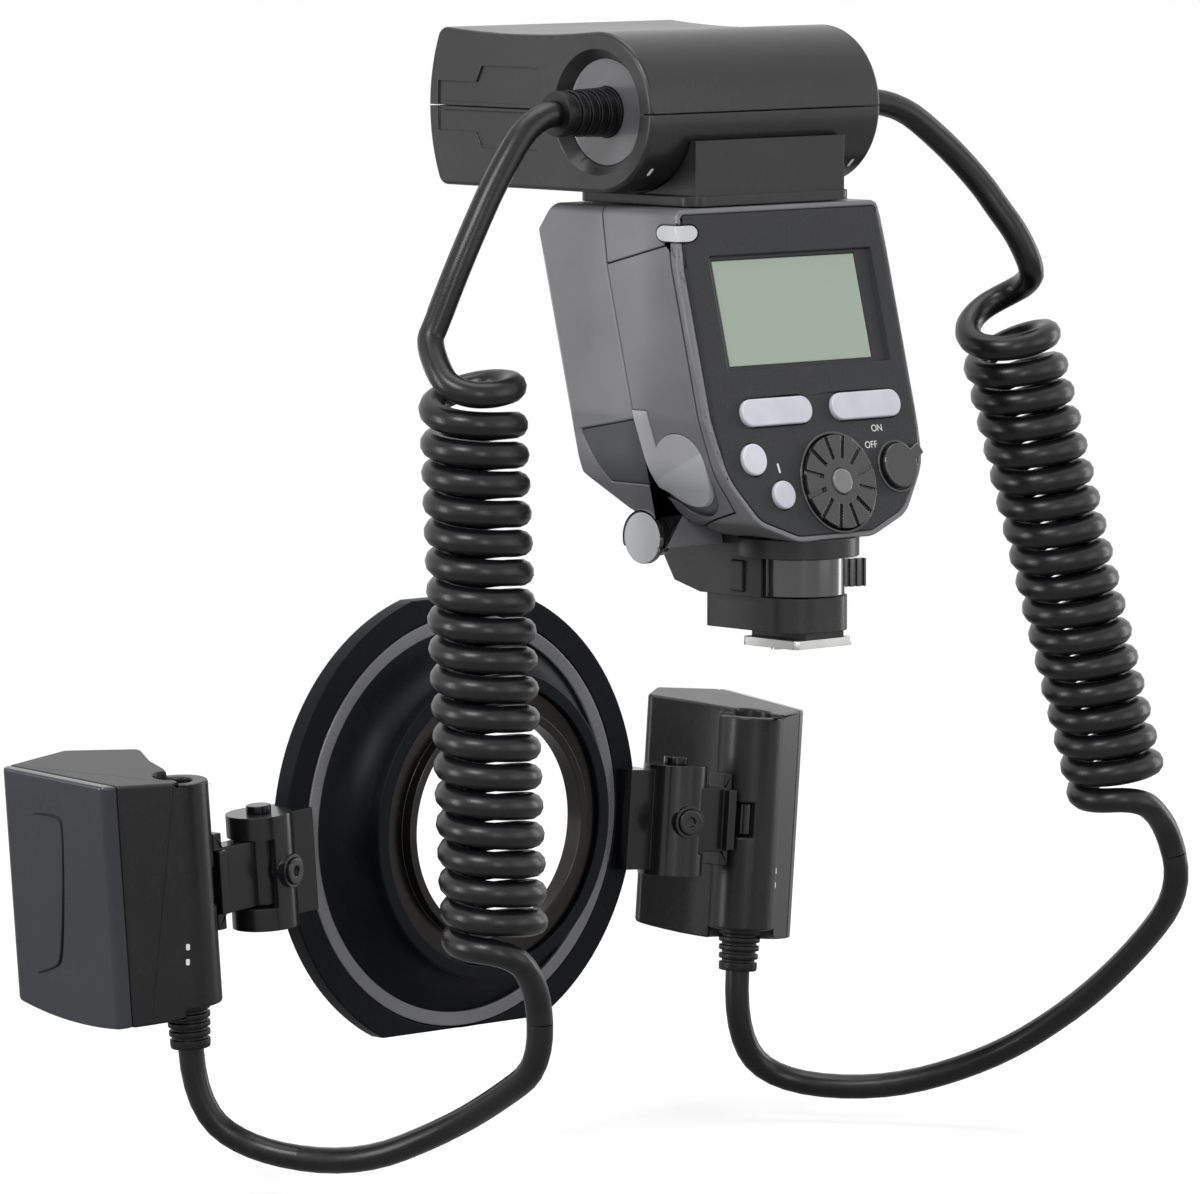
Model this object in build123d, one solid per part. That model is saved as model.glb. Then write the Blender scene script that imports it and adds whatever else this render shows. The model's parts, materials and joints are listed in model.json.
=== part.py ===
from build123d import *
import os
from math import acos, atan2, cos, degrees, pi, radians, sin, sqrt, tan

# Twin flash controller with a tilting cord housing, two curly cords and a ring with two heads.
# Millimetres. The origin is the centre of the foot's sole, +X to the user's right, +Y forwards,
# the way that the heads shine, and +Z up.

os.makedirs("parts", exist_ok=True)

# General clearances and walls
running_gap = 0.05
button_gap = 0.15
seam_gap = 0.3
part_gap = 0.3
wall = 1.8
overrun = 2.0
far_reach = 160.0

# Slide-in foot and its contacts
foot_width = 18.6
foot_depth = 18.0
foot_thick = 2.0
foot_corner = 1.2
throat_width = 12.2
throat_height = 1.7
contact_radius = 1.0
contact_proud = 0.4
contact_length = 3.4
contact_spacing_x = 3.3
contact_spacing_y = 3.6
contact_front_shift = 0.2
lock_pin_radius = 1.4
lock_pin_place = 6.8
lock_pin_proud = 1.6
lock_pin_length = 11.0

# Foot housing, collar and lock ring
block_width = 21.0
block_rear = 10.4
block_front = 21.0
block_height = 8.0
block_rear_corner = 8.0
block_front_corner = 2.5
ring_height = 8.8
ring_radius = 11.0
ring_bore = 7.75
collar_radius = 14.3
belly_half_width = 12.0
belly_front_low = 20.3
belly_nose_y = 29.0
belly_nose_rise = 2.2
belly_brow_y = 34.0
belly_brow_rise = 10.0
tab_reach = 16.8
tab_width = 5.4
tab_inset = 1.1
tab_angle = -15.0
tab_groove = 0.7
tab_groove_pitch = 1.9
release_width = 4.0
release_height = 7.0
release_proud = 0.9
release_depth = 1.4
release_place_y = 7.4

# Controller body, which leans forward by one angle from foot to top
lean_angle = 14.6
body_base_z = 25.5
body_top_z = 102.0
panel_foot_y = -13.0
body_depth = 50.4
parting_depth = 25.0
body_half = 34.0
body_top_taper = 1.4
body_low_taper = 1.8
body_hip_taper = 10.0
body_base_taper = 22.0
body_shoulder_drop = 13.0
body_waist_rise = 28.5
body_low_rise = 15.5
body_hip_rise = 4.5
body_rear_corner = 3.0
plan_spare = 0.4
body_front_corner = 7.0
body_side_bend = 16.0
body_hip_bend = 9.0
body_top_bend = 2.5
brow_setback = 8.4
brow_slope = 57.0
brow_share = 0.3
chin_setback = 13.4
chin_slope = 41.0
chin_share = 0.5

# Rear control panel and what sits in it, placed across and up from the panel's foot
panel_border = 1.3
panel_thick = 2.2
bezel_depth = 0.8
bezel_left = -24.8
bezel_right = 27.4
bezel_low = 41.0
bezel_high = 67.8
lcd_width = 45.8
lcd_height = 24.8
lcd_x = -0.6
lcd_rise = 54.4
wide_button_length = 22.4
wide_button_height = 6.4
wide_button_left_x = -12.5
wide_button_right_x = 16.4
wide_button_rise = 30.8
round_button_radius = 3.7
round_button_x = -22.2
round_button_rise = 20.0
small_button_radius = 3.3
small_button_x = -14.7
small_button_rise = 11.3
button_proud = 0.9
button_flange = 0.8
button_flange_thick = 0.8
button_flange_gap = 0.1
dial_radius = 11.0
dial_x = 3.5
dial_rise = 13.2
dial_proud = 1.3
dial_sink = 1.3
dial_sleeve_radius = 5.5
dial_sleeve_length = 2.4
dial_petals = 12
dial_petal_gap = 1.1
dial_petal_depth = 0.8
dial_petal_start = 4.9
set_radius = 3.0
set_proud = 1.9
switch_radius = 5.3
switch_x = 23.5
switch_rise = 15.8
switch_proud = 1.7
switch_shaft = 2.2
switch_lever_length = 8.2
switch_lever_width = 3.0
switch_lever_angle = 28.0
pilot_length = 9.4
pilot_height = 3.6
pilot_rise = 73.4
pilot_proud = 0.6
pilot_depth = 2.6
pilot_room = 0.8
pilot_turn = 47.0

# Battery door, its latch, cells and bay, on the left side
door_rear_depth = 3.8
door_low_rise = 9.0
door_high_rise = 71.5
door_hinge_out = 0.1
latch_radius = 8.6
latch_depth = 14.4
latch_z = 42.0
latch_cheek = 4.5
latch_neck_z = 55.4
latch_neck_width = 4.7
latch_proud = 0.4
latch_sink = 0.9
latch_pocket = 1.0
latch_shank = 2.6
latch_shank_depth = 22.6
latch_shank_z = 52.5
latch_travel = 2.2
latch_keeper_room = 1.4
latch_keeper_half = 2.1
latch_keeper = 0.7
cell_radius = 7.1
cell_length = 49.5
cell_nub_radius = 2.7
cell_nub = 1.0
cell_pitch = 14.5
cell_clear = 2.5
cell_depth = 12.4
cell_low = 25.0
bay_wall = 1.2
bay_slack = 0.2

# Side covers, cap and front window of the controller
cover_skin = 1.1
cover_high_setback = 5.8
cover_low_setback = 9.6
cover_high_z = 53.0
cover_drop_z = 49.6
cover_low_z = 38.2
cover_rear_gap = 0.35
cap_radius = 6.0
cap_barrel_radius = 6.7
cap_y = 17.6
cap_z = 25.8
cap_inset = 0.8
cap_thick = 1.6
cap_plug_radius = 4.4
cap_plug_length = 4.0
aim_window_half = 13.0
aim_window_low_z = 49.0
aim_window_high_z = 62.0

# Board and main capacitor inside the controller
board_margin = 7.0
board_clear = 0.8
board_setback = 8.4
board_thick = 1.6
board_low_z = 44.0
board_high_z = 92.0
capacitor_radius = 9.5
capacitor_length = 42.0
capacitor_x = 14.0
capacitor_low = 26.0
post_half = 1.6
post_inset = 4.0

# Neck plate, pivot and saddle under the cord housing
neck_lift = 0.3
neck_plate_half = 26.0
neck_plate_rear = 8.0
neck_plate_front = 48.0
neck_plate_thick = 2.3
neck_plate_corner = 4.0
neck_boss_radius = 9.0
neck_boss_length = 3.6
neck_flange_radius = 11.0
saddle_half = 24.0
saddle_lip = 1.0
saddle_height = 12.8
lug_half_width = 10.0
lug_thick = 5.0
lug_eye_radius = 6.0

# Cord housing, which tilts about a shaft along X
housing_half = 37.0
housing_radius = 18.6
housing_axis_y = 28.9
housing_axis_z = 123.8
housing_front_y = 83.0
housing_bow = 4.0
housing_top_dip = 1.3
housing_nose = 3.0
housing_edge = 1.0
tilt_most = 60.0
shaft_radius = 2.5
shaft_half = 16.6
rib_start = 12.0
rib_thick = 2.6
rib_half_depth = 6.0
rib_rise = 5.0
dish_radius = 14.6
disc_radius = 12.5
disc_sink = 3.0
disc_thick = 1.2
dish_wall = 1.6
relief_hole = 4.2
relief_root = 5.8
relief_tip = 5.2
relief_reach = 16.0
relief_ribs = 6
relief_groove = 0.8
relief_rib_share = 0.6
relief_plug = 3.4
stow_front = 0.6
stow_wide_start = 48.7
stow_step_y = 69.3
stow_step_run = 1.0
stow_wide_half = 9.6
stow_narrow_half = 5.8
stow_depth = 0.5
stow_bar_half = 0.95
stow_bar_inset = 1.6

# Cords: the curly part, then the points of the plain stretches
cord_diameter = 6.2
coil_radius = 9.4
coil_gap = 0.56
coil_lead = 9.4
coil_turns_left = 19
coil_turns_right = 17.5
coil_turn = -43.0
coil_left_top = (-76.6, 28.0, 63.4)
coil_left_end = (-69.8, 28.0, -65.4)
coil_right_top = (89.1, 20.0, 70.3)
coil_right_end = (119.2, 10.0, -45.4)
upper_left_bends = [(-67.5, 28.8, 115.2), (-80.5, 28.2, 101.5)]
upper_right_bends = [(78.0, 28.0, 116.5), (90.0, 25.5, 108.5)]
lower_left_bends = [
    (-62.0, 31.0, -104.0),
    (-61.5, 54.0, -120.0),
    (-68.0, 82.0, -131.0),
    (-79.0, 106.0, -128.0),
]
lower_right_bends = [
    (133.0, 8.0, -86.0),
    (137.0, 34.0, -106.0),
    (133.0, 62.0, -122.0),
    (118.0, 90.0, -130.0),
    (100.0, 112.0, -127.0),
]
left_exit_run = 7.0
right_exit_run = 10.0
coil_entry_run = 9.5
coil_exit_run = 11.0
head_entry_run = 15.0
bend_share = 0.45
gap_marks = 6
gap_near_diameters = 3
gap_far_diameters = 15

# Mounting ring that carries the heads
ring_axis_z = -52.3
rim_radius = 57.2
rim_low_cut = 6.3
rim_high_cut = 2.4
rim_rear_y = 116.0
rim_front_y = 121.0
rim_band = 6.7
rim_edge = 0.9
bell_wall = 2.2
bell_neck_radius = 34.4
bell_neck_y = 104.5
bell_neck_length = 3.0
bell_neck_wall = 3.4
bell_sag = 3.2
bell_step = 3.0
adapter_rear_y = 106.0
adapter_flange_thick = 2.0
adapter_thread_radius = 29.0
adapter_thread_length = 3.0
adapter_bore = 26.8
ring_button_length = 10.0
ring_button_width = 3.0
ring_button_depth = 1.7
ring_button_proud = 0.8

# Clip on the rim, its button and the knuckle
clip_drop_angle = 4.6
jaw_half_height = 12.4
jaw_reach = 5.6
jaw_rear_thick = 4.0
jaw_front_thick = 2.6
ear_half_height = 13.7
ear_thick = 5.4
ear_radius = 8.0
knuckle_reach = 10.2
knuckle_y = 113.0
knuckle_radius = 5.0
sleeve_bore = 5.3
sleeve_spread = 105.0
sleeve_steps = 6
pin_radius = 2.0
pin_head_radius = 3.0
pin_head = 1.9
clip_button_radius = 3.1
clip_button_rim = 0.9
clip_button_angle = -75.0
clip_button_seat = 1.2
clip_button_back = 7.1
clip_button_proud = 0.7
clip_button_floor = 0.8
clip_button_hole = 1.2

# Arm between the knuckle and the head's barrel
arm_reach = 25.7
barrel_y = 113.0
barrel_radius = 8.3
barrel_low = 27.7
barrel_high = 25.7
arm_half_height = 8.0
arm_half_width = 3.0
plate_thick = 2.6
plate_half_height = 7.6
plate_half_width = 5.0
hook_height = 3.6
tongue_half_height = 4.0
tongue_half_width = 2.0
eye_radius = 4.4
barrel_pin_radius = 2.0
barrel_pin_low = 13.0
turn_swing = 30.0

# Flash head, drawn outward and forward from its barrel
head_top_rise = 4.4
head_base_rise = 3.6
head_base_bulge = 3.2
head_outline = [
    (20.0, 2.0),
    (24.0, 34.5),
    (2.0, 37.5),
    (-12.0, 26.0),
    (-6.0, 15.0),
    (-3.4, 7.2),
    (4.1, -7.1),
]
head_corner = 2.0
head_wall = 1.6
head_cap_thick = 3.0
window_bow = 1.0
window_inset = 1.2
lamp_skin = 0.8
lamp_tube_radius = 1.8
lamp_depth = 9.0
lamp_tube_depth = 5.4
lamp_inset = 1.0
barrel_hole_radius = 4.6
barrel_hole_depth = 3.0
head_relief_root = 5.3
head_relief_tip = 4.7
head_relief_length = 10.6
head_relief_ribs = 5

# Worked out from the sizes above
lean = radians(lean_angle)
lean_up = Vector(0, sin(lean), cos(lean))
panel_foot_z = body_base_z
block_base_z = foot_thick + throat_height
block_top_z = block_base_z + block_height
ring_base_z = block_top_z + part_gap
ring_top_z = ring_base_z + ring_height
collar_base_z = ring_top_z + part_gap
neck_base_z = body_top_z + neck_lift
neck_top_z = neck_base_z + neck_plate_thick
saddle_radius = housing_radius + part_gap
cap_outer_x = body_half - cap_inset
cell_inner_x = -body_half + wall + cell_clear + cell_radius + cell_pitch
board_left = cell_inner_x + cell_radius + bay_slack + bay_wall + board_clear
board_right = body_half - board_margin
board_depth = body_depth - board_setback
rim_inner = rim_radius - rim_band
rim_flat_low = rim_radius - rim_low_cut
rim_flat_high = rim_radius - rim_high_cut
bell_front_radius = rim_inner - bell_step
knuckle_r = rim_radius + knuckle_reach
barrel_r = knuckle_r + arm_reach
coil_side = Vector(cos(radians(coil_turn)), sin(radians(coil_turn)), 0)


# Plain helpers
def block(x0, x1, y0, y1, z0, z1):
    """A box between two corners."""
    middle = Pos((x0 + x1) / 2, (y0 + y1) / 2, (z0 + z1) / 2)
    return middle * Box(x1 - x0, y1 - y0, z1 - z0)


def rod(start, direction, length, radius):
    """A cylinder from a point along a direction."""
    place = Plane(origin=start, z_dir=direction)
    return place * Cylinder(radius, length, align=(Align.CENTER, Align.CENTER, Align.MIN))


def outline(points, radii=None):
    """A face inside straight sides, with rounded corners where radii are given."""
    if radii is None:
        return make_face(Polyline(*points, close=True))
    return make_face(FilletPolyline(*points, radius=radii, close=True))


def drawn_in(points, inset):
    """The corners of an outline whose sides have all moved inward by an inset."""
    places = [Vector(*p) for p in points]
    area = sum(a.X * b.Y - b.X * a.Y for a, b in zip(places, places[1:] + places[:1]))
    side = inset if area > 0 else -inset
    moved = []
    for before, here, after in zip(places[-1:] + places[:-1], places, places[1:] + places[:1]):
        run_in = (here - before).normalized()
        run_out = (after - here).normalized()
        normals = Vector(-run_in.Y - run_out.Y, run_in.X + run_out.X)
        shift = normals * (side / (1 + run_in.dot(run_out)))
        moved.append((here.X + shift.X, here.Y + shift.Y))
    return moved


def rounded_in(points, bends, inset):
    """A rounded outline drawn in by an inset, with its bends tightened to match."""
    return outline(drawn_in(points, inset), [max(b - inset, running_gap) for b in bends])


def prism_x(face, x0, x1):
    """A face drawn in (Y, Z), stretched from x0 to x1."""
    return extrude(Plane.YZ.offset(x0) * face, amount=x1 - x0, dir=(1, 0, 0))


def prism_y(face, y0, y1):
    """A face drawn in (X, Z), stretched from y0 to y1."""
    place = Plane(origin=(0, y0, 0), x_dir=(1, 0, 0), z_dir=(0, -1, 0))
    return extrude(place * face, amount=y1 - y0, dir=(0, 1, 0))


def prism_z(face, z0, z1):
    """A face drawn in (X, Y), stretched from z0 to z1."""
    return extrude(Pos(0, 0, z0) * face, amount=z1 - z0, dir=(0, 0, 1))


def save(name, shape):
    """Writes one node."""
    shape.label = name
    export_step(shape, f"parts/{name}.step")


# Controller body as one leaning form, drawn in or out by an inset
def rear_y(z):
    """Where the rear plane of the body stands at a height."""
    return panel_foot_y + (z - panel_foot_z) * tan(lean)


def lean_prism(face):
    """A plan, drawn from the rear plane's foot, stretched along the lean."""
    base_z = body_base_z - overrun
    start = Pos(0, rear_y(base_z), base_z)
    length = (body_top_z - body_base_z + 2 * overrun) / cos(lean)
    return extrude(start * face, amount=length, dir=lean_up)


def lean_block(x0, x1, depth0, depth1):
    """A leaning slab between two depths behind the rear plane."""
    return lean_prism(outline([(x0, depth0), (x1, depth0), (x1, depth1), (x0, depth1)]))


def body_front_outline(inset):
    """The body's rear outline."""
    half = [
        (body_half - body_top_taper, body_top_z),
        (body_half, body_top_z - body_shoulder_drop),
        (body_half, body_base_z + body_waist_rise),
        (body_half - body_low_taper, body_base_z + body_low_rise),
        (body_half - body_hip_taper, body_base_z + body_hip_rise),
        (body_half - body_base_taper, body_base_z),
    ]
    bends = [body_top_bend, body_side_bend, body_side_bend, body_side_bend, body_hip_bend, body_hip_bend]
    points = half + [(-x, z) for x, z in reversed(half)]
    return rounded_in(points, bends + bends[::-1], inset)


def body_side_outline(inset):
    """The body's side outline: flat top and base, slanted brow and chin."""
    low = body_base_z + inset
    high = body_top_z - inset
    brow = tan(radians(brow_slope))
    chin = tan(radians(chin_slope))
    brow_y = rear_y(body_top_z) + body_depth - brow_setback - inset * tan(radians(brow_slope / 2))
    chin_y = panel_foot_y + body_depth - chin_setback - inset * tan(radians(chin_slope / 2))
    brow_end = (high - low) * brow_share
    chin_end = (high - low) * chin_share
    return outline(
        [
            (-far_reach, low),
            (chin_y, low),
            (chin_y + chin_end / chin, low + chin_end),
            (brow_y + brow_end / brow, high - brow_end),
            (brow_y, high),
            (-far_reach, high),
        ]
    )


def body_solid(inset):
    """The body's outer form, or with an inset the form inside its wall."""
    side = inset / cos(lean)
    half = body_half + plan_spare - inset
    rear = max(body_rear_corner - inset, running_gap)
    front = max(body_front_corner - inset, running_gap)
    plan = outline(
        [(-half, side), (half, side), (half, body_depth - side), (-half, body_depth - side)],
        [rear, rear, front, front],
    )
    form = lean_prism(plan) & prism_y(body_front_outline(inset), -far_reach, far_reach)
    return form & prism_x(body_side_outline(inset), -far_reach, far_reach)


def lean_place(x, depth, rise):
    """A place in the leaning frame: across, straight in from the panel, and up along it."""
    frame = Plane(origin=(0, panel_foot_y, panel_foot_z), x_dir=(1, 0, 0), z_dir=lean_up)
    return frame * Pos(x, depth, rise)


def panel_place(x, rise, depth):
    """A place on the control panel, with Z pointing out of it."""
    out = (0, -cos(lean), sin(lean))
    frame = Plane(origin=(0, panel_foot_y, panel_foot_z), x_dir=(1, 0, 0), z_dir=out)
    return frame * Pos(x, rise, -depth)


def neck_bore():
    """The round bearing of the neck, shared by both halves of the body."""
    start = (0, housing_axis_y, neck_base_z - neck_boss_length - part_gap)
    room = rod(start, (0, 0, 1), body_top_z - wall - start[-1], neck_flange_radius + part_gap)
    return room + rod(start, (0, 0, 1), neck_boss_length + overrun, neck_boss_radius + running_gap)


def pilot_prism(gap, room):
    """The long rounded shape of the pilot button, across the panel's upper left corner."""
    depth = pilot_depth + body_rear_corner + room
    z = panel_foot_z + pilot_rise * cos(lean)
    middle = Vector(-body_half, rear_y(z), z)
    out = Vector(-sin(radians(pilot_turn)), -cos(radians(pilot_turn)), 0)
    start = middle - out * depth
    place = Plane(origin=start, x_dir=out.cross(Vector(0, 0, 1)), z_dir=out)
    shape = SlotOverall(pilot_length + 2 * gap, pilot_height + 2 * gap)
    return extrude(place * shape, amount=depth + overrun)


def door_sweep(gap):
    """The round that the door's far edge sweeps about its hinge, so that the edge clears its jamb."""
    reach = (parting_depth + seam_gap / 2 - door_rear_depth) * cos(lean)
    radius = sqrt(reach**2 + (wall + door_hinge_out) ** 2) + gap
    hinge = Vector(-body_half - door_hinge_out, panel_foot_y + parting_depth + seam_gap / 2, panel_foot_z)
    return rod(hinge - lean_up * overrun, lean_up, body_top_z, radius)


def door_prism(gap):
    """The slab of the left wall that the battery door fills, with ends square to its hinge."""
    slab = lean_block(
        -body_half - overrun,
        -body_half / 2,
        door_rear_depth - gap,
        parting_depth,
    )
    low = door_low_rise - gap
    high = door_high_rise + gap
    length = Box(2 * far_reach, 2 * far_reach, high - low)
    return slab & lean_place(0, 0, (low + high) / 2) * length & door_sweep(gap)


def cover_prism(gap):
    """The slanted outline of the rubber terminal cover, on the left side."""
    points = [
        (rear_y(cover_high_z) + parting_depth + cover_rear_gap - gap, cover_high_z + gap),
        (rear_y(cover_drop_z) + body_depth - cover_high_setback + gap, cover_drop_z + gap),
        (rear_y(cover_low_z) + body_depth - cover_low_setback + gap, cover_low_z - gap),
        (rear_y(cover_low_z) + parting_depth + cover_rear_gap - gap, cover_low_z - gap),
    ]
    return prism_x(outline(points), -body_half - overrun, 0)


def aim_prism(gap):
    """The window for the focus aid, in the front wall."""
    half = aim_window_half + gap
    low = aim_window_low_z - gap
    return block(-half, half, 0, far_reach, low, aim_window_high_z + gap)


def cap_place(x):
    """A place along the axis of the side cap's barrel."""
    return (x, cap_y, cap_z)


def latch_side(z):
    """Where the latch's straight side runs at a height, along the parting line."""
    return rear_y(z) + parting_depth


def latch_outline(gap):
    """The thumb latch in (Y, Z): a round pad, and a neck along the parting line."""
    pad_y = rear_y(latch_z) + latch_depth
    radius = latch_radius + gap
    width = latch_neck_width + gap
    top = latch_neck_z + gap
    low = latch_z - latch_cheek
    neck = outline(
        [
            (latch_side(top), top),
            (latch_side(top) - width, top),
            (latch_side(latch_z) - width, latch_z),
            (latch_side(latch_z), latch_z),
        ]
    )
    cheek = outline(
        [
            (pad_y, latch_z),
            (latch_side(latch_z), latch_z),
            (latch_side(low), low - gap),
            (pad_y, latch_z - radius),
        ]
    )
    return Pos(pad_y, latch_z) * Circle(radius) + neck + cheek


def latch_room(gap):
    """The outline of the pocket that the latch slides down in."""
    slide = Vector(sin(lean), cos(lean)) * -latch_travel
    pad = Vector(rear_y(latch_z) + latch_depth, latch_z)
    side = Vector(cos(lean), -sin(lean)) * (latch_radius + gap)
    corners = [pad + side, pad + slide + side, pad + slide - side, pad - side]
    here = latch_outline(gap)
    return here + Pos(slide.X, slide.Y) * here + outline([(c.X, c.Y) for c in corners])


def make_body_shells():
    """Front and rear halves of the controller, with the battery bay in the rear one."""
    outer = body_solid(0)
    inner = body_solid(wall)
    hollow = outer - inner
    opening = prism_y(body_front_outline(panel_border), -far_reach, far_reach)
    recess = opening & lean_block(-far_reach, far_reach, -far_reach, panel_thick / cos(lean))
    rear_zone = lean_block(-far_reach, far_reach, -overrun, parting_depth)
    front_zone = lean_block(-far_reach, far_reach, parting_depth + seam_gap, far_reach)
    bore = neck_bore()
    rear = (hollow & rear_zone) - recess
    rear = rear + make_bay(inner)
    rear = rear - bore - pilot_prism(button_gap, pilot_room) - door_prism(seam_gap)
    front = hollow & front_zone
    skin = outer - body_solid(cover_skin + running_gap)
    front = front - (skin & cover_prism(seam_gap)) - aim_prism(0) - bore
    barrel_in = -belly_half_width - part_gap
    barrel = rod(cap_place(barrel_in), (-1, 0, 0), cap_outer_x + barrel_in, cap_barrel_radius)
    barrel = barrel & lean_block(-far_reach, far_reach, parting_depth + seam_gap, far_reach)
    front = front + (barrel - inner)
    socket = rod(cap_place(-cap_outer_x), (1, 0, 0), cap_thick, cap_radius)
    plug = rod(cap_place(-cap_outer_x), (1, 0, 0), cap_thick + cap_plug_length, cap_plug_radius)
    front = front - socket - plug + make_board_posts()
    return front, rear


def make_bay(inner):
    """An open-sided box for the cells, hung on a rib that spans the rear half."""
    low_x = cell_inner_x - cell_pitch - cell_radius
    high_x = cell_inner_x + cell_radius + bay_slack
    low_d = cell_depth - cell_radius - bay_slack
    high_d = cell_depth + cell_pitch + cell_radius + bay_slack
    low_t = cell_low - bay_slack
    high_t = cell_low + cell_length + cell_nub + bay_slack
    size = Vector(high_x - low_x, high_d - low_d, high_t - low_t)
    middle = lean_place((low_x + high_x) / 2, (low_d + high_d) / 2, (low_t + high_t) / 2)
    case = middle * Box(size.X + 2 * bay_wall, size.Y + 2 * bay_wall, size.Z + 2 * bay_wall)
    case = case & lean_block(cell_inner_x - cell_pitch, far_reach, -far_reach, far_reach)
    space = middle * Pos(-overrun, 0, 0) * Box(size.X + 2 * overrun, size.Y, size.Z)
    side = lean_block(high_x, high_x + bay_wall, (low_d - bay_wall) / cos(lean), parting_depth)
    keep = lean_block(-body_half, body_half, 0, body_depth)
    return ((case - space) & inner & keep) + (side & inner)


def make_cells():
    """Four round cells side by side, nub up."""
    cells = Part()
    for across in (0, -cell_pitch):
        for inward in (0, cell_pitch):
            place = lean_place(cell_inner_x + across, cell_depth + inward, cell_low)
            align = (Align.CENTER, Align.CENTER, Align.MIN)
            can = Cylinder(cell_radius, cell_length, align=align)
            nub = Cylinder(cell_nub_radius, cell_length + cell_nub, align=align)
            cells += place * (can + nub)
    return cells


def make_board_posts():
    """Four posts that hold the board off the front wall."""
    posts = Part()
    for x in (board_left + post_inset, board_right - post_inset):
        for z in (board_low_z + post_inset, board_high_z - post_inset):
            bar = lean_block(x - post_half, x + post_half, board_depth + board_thick, body_depth - wall)
            posts += bar & block(-far_reach, far_reach, -far_reach, far_reach, z - post_half, z + post_half)
    return posts


def make_board():
    """The main board and the flash capacitor beside it."""
    sheet = lean_block(board_left, board_right, board_depth, board_depth + board_thick)
    sheet = sheet & block(-far_reach, far_reach, -far_reach, far_reach, board_low_z, board_high_z)
    depth = board_depth * cos(lean) - capacitor_radius + running_gap
    place = lean_place(capacitor_x, depth, capacitor_low)
    can = place * Cylinder(
        capacitor_radius, capacitor_length, align=(Align.CENTER, Align.CENTER, Align.MIN)
    )
    return sheet + can


def latch_block(x0, x1, half, drop):
    """A small block on the latch's shank, stretched down by the latch's travel."""
    y = rear_y(latch_shank_z) + latch_shank_depth
    return block(x0, x1, y - half - drop * sin(lean), y + half,
                 latch_shank_z - half - drop * cos(lean), latch_shank_z + half)


def make_door_and_latch():
    """The battery door, and the latch that slides in a pocket in its face."""
    skin = body_solid(0) - body_solid(wall)
    edge = lean_block(-far_reach, far_reach, 0, parting_depth - running_gap)
    door = skin & door_prism(0) & edge
    room = prism_x(latch_room(button_gap), -body_half - overrun, 0) - body_solid(latch_pocket)
    door = door - (room & lean_block(-far_reach, 0, 0, body_depth))
    half = latch_shank / 2
    inside = -body_half + wall + latch_keeper_room
    door = door - latch_block(-far_reach, 0, half + button_gap, latch_travel)
    plate = prism_x(latch_outline(0), -body_half - overrun, 0) & edge
    plate = (plate & body_solid(-latch_proud)) - body_solid(latch_sink)
    shank = latch_block(-body_half + latch_sink / 2, inside + latch_keeper, half, 0)
    keeper = latch_block(inside, inside + latch_keeper, latch_keeper_half, 0)
    return door, plate + shank + keeper


def make_panel():
    """The control panel plate, with its openings."""
    slab = body_solid(0) & prism_y(body_front_outline(panel_border), -far_reach, far_reach)
    slab = slab & lean_block(-far_reach, far_reach, -overrun, panel_thick / cos(lean))
    slab = slab - pilot_prism(button_gap, pilot_room)
    bezel = Box(bezel_right - bezel_left, bezel_high - bezel_low, bezel_depth * 2)
    slab = slab - panel_place((bezel_left + bezel_right) / 2, (bezel_low + bezel_high) / 2, 0) * bezel
    slab = slab - panel_place(lcd_x, lcd_rise, 0) * Box(lcd_width, lcd_height, panel_thick * 3)
    for x, rise, shape in panel_buttons(button_gap):
        slab = slab - extrude(panel_place(x, rise, -overrun) * shape, amount=-(panel_thick + 2 * overrun))
    dial = panel_place(dial_x, dial_rise, 0)
    slab = slab - dial * Cylinder(dial_radius + part_gap, 2 * (dial_sink + part_gap))
    slab = slab - dial * Cylinder(dial_sleeve_radius + running_gap, panel_thick * 3)
    shaft = panel_place(switch_x, switch_rise, 0)
    return slab - shaft * Cylinder(switch_shaft + running_gap, panel_thick * 3)


def panel_buttons(gap):
    """The four flush buttons: where each stands and its outline."""
    wide = SlotOverall(wide_button_length + 2 * gap, wide_button_height + 2 * gap)
    return [
        (wide_button_left_x, wide_button_rise, wide),
        (wide_button_right_x, wide_button_rise, wide),
        (round_button_x, round_button_rise, Circle(round_button_radius + gap)),
        (small_button_x, small_button_rise, Circle(small_button_radius + gap)),
    ]


def make_button(index):
    """A button with a flange behind the panel that keeps it in."""
    x, rise, shape = panel_buttons(0)[index]
    flange = panel_buttons(button_flange)[index][2]
    depth = panel_thick + button_flange_gap
    stem = extrude(panel_place(x, rise, -button_proud) * shape, amount=-(button_proud + depth))
    stem = fillet(stem.faces().sort_by(Axis.Y)[0].edges(), button_proud / 2)
    base = extrude(panel_place(x, rise, depth) * flange, amount=-button_flange_thick)
    return stem + base


def make_dial():
    """The petalled dial wheel, turning on a sleeve in the panel."""
    align = (Align.CENTER, Align.CENTER, Align.MAX)
    top = panel_place(dial_x, dial_rise, -dial_proud)
    disc = top * Cylinder(dial_radius, dial_proud + dial_sink, align=align)
    length = dial_proud + dial_sink + dial_sleeve_length
    sleeve = top * Cylinder(dial_sleeve_radius, length, align=align)
    hole = top * Cylinder(set_radius + button_gap, 2 * length + overrun)
    cut_length = dial_radius - dial_petal_start
    middle = dial_petal_start + cut_length / 2 + dial_petal_gap / 2
    groove = Box(cut_length, dial_petal_gap, 2 * dial_petal_depth)
    wheel = disc + sleeve - hole
    for k in range(dial_petals):
        turn = Rotation(0, 0, (k + 0.5) * 360 / dial_petals)
        wheel = wheel - top * turn * Pos(middle, 0, 0) * groove
    return wheel


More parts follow.
